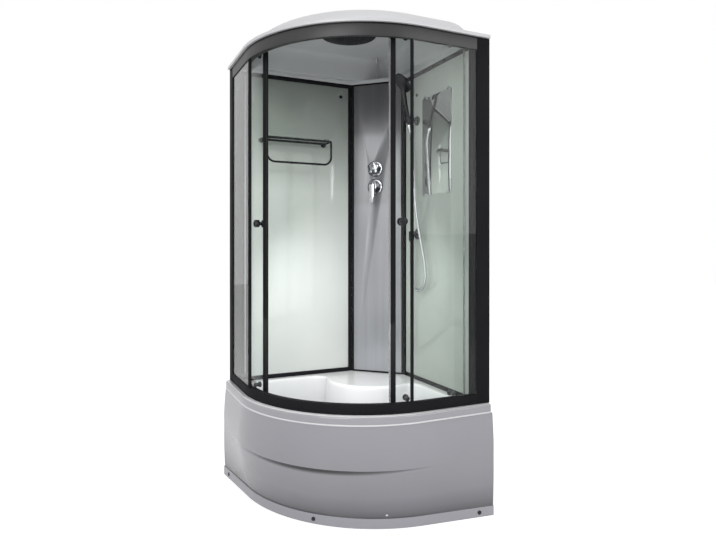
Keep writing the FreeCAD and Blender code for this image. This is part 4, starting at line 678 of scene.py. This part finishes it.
softened("tray_frame", "steel_frame", galvanised, width=0.0015)
softened("levelling_feet", "screw_feet", galvanised, width=0.0012)
softened("drain_trap", "waste_trap", waste_plastic, width=0.0008)
softened("drain_cover", "chrome_cover", chrome, "drain_cover", width=0.0010)


# Rails. Two black anodised aluminium profiles bent to the front's curve. The lower one is a
# gutter with a track for the wheels, the upper one holds the panes and carries the doors.

RAIL_FRONT = -0.422
RAIL_RADIUS = 0.560
POST_LINE = 0.388
RAIL_TOP = 1.936

black_anodised = surface("black_anodised", (0.017, 0.017, 0.019), 0.45, mottle=0.12,
                         mottle_size=5, grain=0.10, grain_size=420, shine=0.012)
# The upper rail is the lower rail's black anodised aluminium painted lighter and mottled as a
# painted sheen, with its top 5.5 mm painted near black as the shade of the groove along its
# top edge.
painted_sheen_anodised = toned(surface("painted_sheen_anodised", (0.052, 0.051, 0.053), 0.42, metal=0.3,
                               mottle=0.25, mottle_size=2.2, grain=0.10, grain_size=420,
                               shine=0.3),
                       ((RAIL_TOP - 0.052, (1, 1, 1)), (RAIL_TOP - 0.0065, (1, 1, 1)),
                        (RAIL_TOP - 0.0055, (0.12, 0.12, 0.12)),
                        (RAIL_TOP, (0.12, 0.12, 0.12))))


def rail_row(depth, level):
    """One line of a rail's section, run along its whole path."""
    front = RAIL_FRONT + depth
    first, last = Vector((POST_LINE, front, level)), Vector((front, POST_LINE, level))
    swing = [Vector((p.x, p.y, level)) for p in
             arc((BASIN_MIDDLE, BASIN_MIDDLE), RAIL_RADIUS - depth, 270, 180, 84)]
    return ([first] + between(first, swing[0], 4) + swing + between(swing[-1], last, 4)
            + [last])


def rail(name, section, finish, node):
    """A rail drawn along its path, with every corner of its section rounded a little."""
    corners = [Vector((depth, level, 0)) for depth, level in section]
    loop = eased([[p] for p in corners[-1:] + corners + corners[:1]],
                 [0.0005] * len(corners), 2)[1:-1]
    rows = [rail_row(p[0].x, p[0].y) for p in loop]
    piece = draped(name, rows + rows[:1], False)
    only(piece)
    bpy.ops.object.mode_set(mode="EDIT")
    for axis in (0, 1):
        drawn = bmesh.from_edit_mesh(piece.data)
        bpy.ops.mesh.select_all(action="DESELECT")
        for edge in drawn.edges:
            at_post = all(abs(v.co[axis] - POST_LINE) < 1e-5 for v in edge.verts)
            if at_post and len(edge.link_faces) == 1:
                edge.select_set(True)
        bmesh.update_edit_mesh(piece.data)
        bpy.ops.mesh.fill(use_beauty=True)
    bpy.ops.object.mode_set(mode="OBJECT")
    faced_out(piece)
    return finished(piece, finish, [node])


# Each section is a list of depth behind the front face and level.
low_top = DECK + 0.040
rail("lower_rail", [
    (0, DECK), (0.050, DECK), (0.050, DECK + 0.012), (0.047, DECK + 0.012),
    (0.047, DECK + 0.005), (0.030, DECK + 0.005), (0.030, low_top - 0.002),
    (0.0093, low_top - 0.002), (0.0093, DECK + 0.012), (0.0037, DECK + 0.012),
    (0.0037, low_top), (0, low_top), (0, DECK + 0.009), (0.0012, DECK + 0.0078),
    (0.0012, DECK + 0.0062), (0, DECK + 0.005)], black_anodised, "bottom_rail")
high_low = RAIL_TOP - 0.052
rail("upper_rail", [
    (0, high_low), (0.0037, high_low), (0.0037, RAIL_TOP - 0.014),
    (0.0093, RAIL_TOP - 0.014), (0.0093, high_low + 0.005), (0.030, high_low + 0.005),
    (0.030, high_low + 0.009), (0.012, high_low + 0.009), (0.012, RAIL_TOP - 0.005),
    (0.050, RAIL_TOP - 0.005), (0.050, RAIL_TOP), (0, RAIL_TOP), (0, RAIL_TOP - 0.004),
    (0.0018, RAIL_TOP - 0.005), (0.0018, RAIL_TOP - 0.008), (0, RAIL_TOP - 0.009)],
     painted_sheen_anodised, "top_rail")


# Posts and fixed panes. A hollow black aluminium post stands at each wall. A narrow pane of
# tempered glass is held in its slot and in the rails, and ends in an upright profile.

GLASS_INDEX = 1.24


def glazing(name, tint):
    """Clear glass. Light and shadow pass straight through, gloss and view bend in it."""
    material = bpy.data.materials.new(name)
    material.use_nodes = True
    tree = material.node_tree
    shader = tree.nodes["Principled BSDF"]
    shader.inputs["Base Color"].default_value = (*tint, 1)
    shader.inputs["Roughness"].default_value = 0.0
    shader.inputs["IOR"].default_value = GLASS_INDEX
    shader.inputs["Transmission Weight"].default_value = 1
    place = tree.nodes.new("ShaderNodeTexCoord")
    wave = tree.nodes.new("ShaderNodeTexNoise")
    wave.inputs["Scale"].default_value = 3
    tree.links.new(place.outputs["Object"], wave.inputs["Vector"])
    bump = tree.nodes.new("ShaderNodeBump")
    bump.inputs["Strength"].default_value = 0.03
    bump.inputs["Distance"].default_value = 0.002
    tree.links.new(wave.outputs["Fac"], bump.inputs["Height"])
    tree.links.new(bump.outputs["Normal"], shader.inputs["Normal"])
    clear = tree.nodes.new("ShaderNodeBsdfTransparent")
    clear.inputs["Color"].default_value = (*tint, 1)
    rays = tree.nodes.new("ShaderNodeLightPath")
    either = tree.nodes.new("ShaderNodeMath")
    either.operation = "MAXIMUM"
    tree.links.new(rays.outputs["Is Shadow Ray"], either.inputs[0])
    tree.links.new(rays.outputs["Is Diffuse Ray"], either.inputs[1])
    mix = tree.nodes.new("ShaderNodeMixShader")
    tree.links.new(either.outputs[0], mix.inputs["Fac"])
    tree.links.new(shader.outputs[0], mix.inputs[1])
    tree.links.new(clear.outputs[0], mix.inputs[2])
    tree.links.new(mix.outputs[0], tree.nodes["Material Output"].inputs["Surface"])
    return material


clear_glass = glazing("clear_glass", (0.93, 0.952, 0.94))
for side in ("right", "left"):
    softened(side + "_post", side + "_wall_post", black_anodised,
             width=0.0010)
    softened(side + "_fixed_glass", side + "_fixed_pane", clear_glass,
             width=0.0008, steps=1)
    softened(side + "_end_profile", side + "_pane_edge", black_anodised,
             width=0.0008)


# Sliding doors. Each is one curved pane with a black stile, a knob through a hole in the
# glass, soft seals, and four nylon wheels on metal mounts that roll in the rails.

seal_plastic = surface("seal_plastic", (0.66, 0.68, 0.67), 0.22, mottle=0.04)
seal_shader = seal_plastic.node_tree.nodes["Principled BSDF"].inputs
seal_shader["Transmission Weight"].default_value = 0.85
black_rubber = surface("black_rubber", (0.012, 0.012, 0.012), 0.5, mottle=0.1, shine=0.15)
wheel_nylon = surface("wheel_nylon", (0.075, 0.075, 0.08), 0.35, mottle=0.08)
mount_plastic = surface("mount_plastic", (0.045, 0.045, 0.05), 0.20, mottle=0.10, grain=0.08,
                        grain_size=380, shine=0.5)
black_plastic = surface("black_plastic", (0.014, 0.014, 0.018), 0.26, mottle=0.08,
                        grain=0.12, grain_size=380, shine=0.3)
for side in ("right", "left"):
    door = side + "_door"
    softened(door + "_glass", door + "_pane", clear_glass, door,
             width=0.0008, steps=1)
    softened(door + "_stile", door + "_upright", black_anodised, door,
             width=0.0012)
    softened(door + "_seals", door + "_gaskets",
             seal_plastic if side == "right" else black_rubber, door, width=0.0010)
    softened(door + "_knob", door + "_handle", black_plastic, door,
             width=0.0014, steps=3)
    softened(side + "_roller_mounts", side + "_wheel_mounts", mount_plastic,
             door, width=0.0006)
    for place in ("top_front", "top_rear", "bottom_front", "bottom_rear"):
        roller = "%s_%s_roller" % (side, place)
        softened(roller, "%s_%s_wheel" % (side, place), wheel_nylon,
                 roller, width=0.0004)


# Wall panels. Glass with a white painted back in a frame of black bars. Light and shade
# are painted into the paint's colour by height: the back wall pale up to a band at about
# 1.36 m and greyer up under the roof, the side wall a darker, shaded copy of the paint
# that is painted lighter towards the top.

panel_glass = {
    "back": toned(surface("back_panel_glass", (1, 1, 1), 0.07, mottle=0.02, coat=0.4),
                  ((0.45, (0.76, 0.78, 0.76)), (1.05, (0.75, 0.785, 0.755)),
                   (1.36, (0.80, 0.84, 0.80)), (1.65, (0.43, 0.46, 0.43)),
                   (1.92, (0.25, 0.272, 0.248)))),
    "side": toned(surface("side_panel_glass", (1, 1, 1), 0.07, mottle=0.03, coat=0.4),
                  ((0.45, (0.44, 0.475, 0.44)), (1.05, (0.47, 0.515, 0.475)),
                   (1.40, (0.57, 0.61, 0.575)), (1.65, (0.63, 0.66, 0.625)),
                   (1.92, (0.62, 0.645, 0.61)))),
}
for wall in ("back", "side"):
    softened(wall + "_wall_frame", wall + "_wall_bars", black_anodised,
             width=0.0010)
    softened(wall + "_wall_panel", wall + "_wall_pane", panel_glass[wall],
             width=0.0008)


# Column. A folded sheet of satin silver painted aluminium across the room's corner, held
# by black trims. The valves come through it.

# The column's colour is painted shade: darker towards the top, in steps at about 1.3 m and
# 1.66 m.
column_paint = toned(surface("column_paint", (1, 1, 1), 0.34, metal=0.3, mottle=0.15,
                             mottle_size=26, stretch=(1, 1, 0.04), grain=0.15,
                             grain_size=300),
                     ((0.45, (0.41, 0.42, 0.445)), (0.95, (0.295, 0.30, 0.315)),
                      (1.29, (0.25, 0.255, 0.27)), (1.32, (0.215, 0.22, 0.23)),
                      (1.645, (0.20, 0.205, 0.215)), (1.675, (0.155, 0.155, 0.16)),
                      (1.92, (0.150, 0.150, 0.155))))
softened("column_panel", "column_sheet", column_paint, width=0.0006)
softened("column_trims", "column_edges", black_anodised, width=0.0010)


# Mixer and diverter. A cast brass body behind the column with the chromed knob and lever in
# front of it, each over a round cover plate.

brass = surface("brass", (0.52, 0.37, 0.15), 0.34, metal=1.0, mottle=0.14, mottle_size=30,
                grain=0.2)
softened("mixer_body", "valve_body", brass, width=0.0015)
# Chrome painted dark with a coarse blotchy mottle, as painted dark reflections, for the cover
# plates, the mixer's cap, the sleeves and the diverter knob.
painted_reflection_chrome = surface("painted_reflection_chrome", (0.20, 0.205, 0.215), 0.12, metal=1.0, mottle=0.85,
                      mottle_size=62)
COLUMN_FACE = Vector((0.290, 0.290, 0))
VALVE_LINE = -0.011
LEVER_LOW, LEVER_TOP = 1.296, 1.399
ARM_FACE = -0.046
ARM_LENGTH = 0.88
SLEEVES = (
    # name, level, radius
    ("mixer_sleeve", 1.392, 0.0246), ("diverter_sleeve", 1.484, 0.0186),
)
softened("valve_plates", "cover_plates", painted_reflection_chrome, width=0.0012, steps=3)
softened("mixer_hub", "mixer_cap", painted_reflection_chrome, "mixer_hub", width=0.0025, steps=4)
lever = softened("mixer_lever", "mixer_handle", chrome, "mixer_lever",
                 width=0.0025, steps=4)
across_column, out_of_column = Vector((1, -1, 0)).normalized(), Vector((1, 1, 0)).normalized()
for vertex in lever.data.vertices:
    away = vertex.co - COLUMN_FACE
    if away.dot(out_of_column) < ARM_FACE:
        rise = (vertex.co.z - LEVER_LOW) / (LEVER_TOP - LEVER_LOW)
        wider = (away.dot(across_column) - VALVE_LINE) * (0.15 + 0.50 * rise)
        vertex.co += across_column * wider
        vertex.co.z = LEVER_TOP - (LEVER_TOP - vertex.co.z) * ARM_LENGTH
for name, level, radius in SLEEVES:
    middle = COLUMN_FACE + across_column * VALVE_LINE + Vector((0, 0, level))
    line = [middle + out_of_column * out for out in (-0.0050, -0.0054, -0.0117, -0.0122)]
    finished(swept(name, line, [radius - 0.0005, radius, radius, radius - 0.0005], 48),
             painted_reflection_chrome, smooth=40)
softened("diverter_knob", "diverter_handle", painted_reflection_chrome, "diverter_knob",
         width=0.0030, steps=4)


# Hoses behind the panels. Two steel braided hoses lead from the body to the roof inlet and
# to the wall outlet.

braid = surface("braid", (0.45, 0.46, 0.47), 0.36, metal=0.85, mottle=0.22, mottle_size=420)
softened("riser_hose", "roof_feed", braid, width=0)
softened("handset_feed_hose", "outlet_feed", braid, width=0)


# Rain head. A flat black disc with rings of rubber nozzles. It hangs on a small ball joint
# from a chromed inlet that is screwed through the roof.

RAIN_FACE = (-0.016, -0.047, 2.0002)
rain_black = surface("rain_black", (0.011, 0.011, 0.013), 0.36, mottle=0.08, shine=0.1)
softened("rain_head", "rain_disc", rain_black, "rain_head", width=0.0015,
         steps=3)
softened("rain_head_inlet", "rain_inlet", chrome, width=0.0008)

nozzle_rubber = surface("nozzle_rubber", (0.085, 0.09, 0.10), 0.5, mottle=0.1)


def nozzles(name, place, rings, base, reach, body):
    """Rings, of a radius and a count each, of tapered nozzles that point along -Z."""
    made = bmesh.new()
    for radius, count in rings:
        for k in range(count):
            turn = math.tau * (k + 0.5) / count
            spot = Matrix.Translation((radius * math.cos(turn), radius * math.sin(turn),
                                       -reach / 2))
            bmesh.ops.create_cone(made, cap_ends=True, segments=8, radius1=base * 0.55,
                                  radius2=base, depth=reach, matrix=place @ spot)
    return finished(placed(name, made), nozzle_rubber, body=body)


nozzles("rain_nozzles", Matrix.Translation(RAIN_FACE),
        [(0.013 * k, 6 * k) for k in range(1, 9)], base=0.0024, reach=0.0026,
        body="rain_head")


# Roof. A white dome, drawn from one plastic sheet, with a lower rim that lies on the rails
# and the wall frames. A ledge and a small corner plate are glued in below it.

roof_white = surface("roof_white", (0.65, 0.655, 0.67), 0.36, mottle=0.02, grain=0.02,
                     grain_size=9, uneven=0.01, depth=0.001)
ROOF_LOW = 1.9361
LEDGE_LOW = 1.921
CEILING = 2.0490
DOME_TOP = 2.053
ROOF_SECTION = (
    # back, front, radius, corner, level, ease; from the ceiling down, out and over the top
    (0.320, -0.190, 0.400, 0.020, CEILING, 0),
    (0.3335, -0.2167, 0.4169, 0.022, 2.048, 0.010),
    (0.3408, -0.2511, 0.4234, 0.022, 2.042, 0.010),
    (0.347, -0.2888, 0.4375, 0.020, 2.030, 0.008),
    (0.3506, -0.3203, 0.4558, 0.018, 2.015, 0.008),
    (0.3523, -0.3445, 0.4746, 0.016, 2.000, 0.008),
    (0.3527, -0.3761, 0.5057, 0.014, 1.975, 0.010),
    (0.351, -0.406, 0.544, 0.014, 1.9465, 0.003),
    (0.351, -0.406, 0.544, 0.014, 1.940, 0.001),
    (0.351, -0.368, 0.506, 0.014, 1.940, 0.001),
    (0.351, -0.368, 0.506, 0.014, ROOF_LOW, 0.001),
    (0.450, -0.432, 0.570, 0.006, ROOF_LOW, 0.0012),
    (0.450, -0.432, 0.570, 0.006, 1.949, 0.0014),
    (0.446, -0.428, 0.566, 0.004, 1.949, 0.0014),
    (0.446, -0.428, 0.566, 0.004, 1.9402, 0.002),
    (0.355, -0.410, 0.548, 0.018, 1.9402, 0.004),
    (0.355, -0.410, 0.548, 0.018, 1.949, 0.004),
    (0.3566, -0.3845, 0.5149, 0.019, 1.975, 0.010),
    (0.3565, -0.3541, 0.4835, 0.020, 2.000, 0.008),
    (0.3552, -0.3313, 0.4647, 0.022, 2.015, 0.008),
    (0.3523, -0.3023, 0.4462, 0.024, 2.030, 0.008),
    (0.3475, -0.2699, 0.4319, 0.026, 2.042, 0.008),
    (0.343, -0.246, 0.4247, 0.026, 2.048, 0.006),
    (0.3393, -0.2286, 0.422, 0.026, 2.051, 0.006),
    (0.325, -0.195, 0.410, 0.024, DOME_TOP, 0),
)


def plate(name, corners, low, high, soft=0.0008):
    """An upright plate over a level outline, with its edges rounded."""
    bpy.ops.object.select_all(action="DESELECT")
    bpy.ops.mesh.primitive_circle_add(vertices=len(corners), radius=1, fill_type="NGON")
    piece = bpy.context.object
    piece.name = piece.data.name = name
    for vertex, (x, y) in zip(piece.data.vertices, corners):
        vertex.co = (x, y, low)
    bpy.ops.object.mode_set(mode="EDIT")
    bpy.ops.mesh.select_all(action="SELECT")
    bpy.ops.mesh.extrude_region_move(TRANSFORM_OT_translate={"value": (0, 0, high - low)})
    bpy.ops.object.mode_set(mode="OBJECT")
    faced_out(piece)
    modified(piece, "BEVEL", width=soft, segments=2, limit_method="ANGLE",
             angle_limit=math.radians(30))
    return piece


roof_rows = eased([quadrant_ring(*key[:5]) for key in ROOF_SECTION],
                  [key[5] for key in ROOF_SECTION[1:-1]], 4)
roof = draped("roof_moulding", roof_rows, True)
filled(roof, CEILING)
filled(roof, DOME_TOP)
faced_out(roof)
finished(roof, roof_white, ["roof_shell"], smooth=45)
finished(plate("ceiling_ledge", [
    (0.384, -0.372), (0.410, -0.372), (0.410, 0.205), (0.205, 0.410), (-0.372, 0.410),
    (-0.372, 0.384), (0.192, 0.384), (0.384, 0.192)], LEDGE_LOW, ROOF_LOW + 0.0001),
    roof_white, ["roof_shell"])
finished(plate("ceiling_corner", [(0.225, 0.3512), (0.3512, 0.225), (0.3512, 0.3512)],
               ROOF_LOW, 1.940, 0.0005), roof_white, ["roof_shell"])


# Hand shower. A black moulded handle and head in a hinged cone holder, over a black elbow
# that brings the water through the wall.

softened("hose_outlet", "wall_elbow", black_plastic, width=0.0012)
softened("handset_holder", "holder_arm", black_plastic, width=0.0010)
softened("handset_cradle", "holder_cup", black_plastic, "handset",
         width=0.0010)
softened("hand_shower", "hand_spray", black_plastic, "handset",
         width=0.0012, steps=3)
CRADLE = (0.340, 0.060, 1.690)
HANDLE_REACH = 0.172
spray_face = (Matrix.Translation(CRADLE) @ Matrix.Rotation(math.radians(3.5), 4, "X")
              @ Matrix.Rotation(math.radians(-13.6), 4, "Y")
              @ Matrix.Translation((0, 0, HANDLE_REACH))
              @ Matrix.Rotation(math.radians(62), 4, "Y"))
nozzles("spray_nozzles", spray_face, [(0.0085 * k, 6 * k) for k in range(1, 6)],
        base=0.0016, reach=0.0016, body="handset")
softened("hose_nut", "outlet_nut", chrome, "hose_nut", width=0.0006)
softened("handset_nut", "handle_nut", chrome, "handset", width=0.0006)


# Shelf, mirror and caps. A glass shelf lies in bent black rods, one of which is a towel
# bar. Chromed clips hold the mirror, and small caps cover the screws of the wall panels.

mirror_silver = surface("mirror_silver", (0.82, 0.83, 0.82), 0.02, metal=1.0, mottle=0.01)
softened("shelf_glass", "shelf_pane", clear_glass, width=0.0008)
softened("shelf_frame", "shelf_rods", black_plastic, width=0.0006)
softened("mirror", "mirror_pane", mirror_silver, width=0.0020)
softened("mirror_clips", "mirror_holders", chrome, width=0.0008)
black_chrome = surface("black_chrome", (0.045, 0.045, 0.05), 0.18, metal=1.0, mottle=0.3)
softened("cover_caps", "screw_caps", black_chrome, width=0.0010, steps=3)
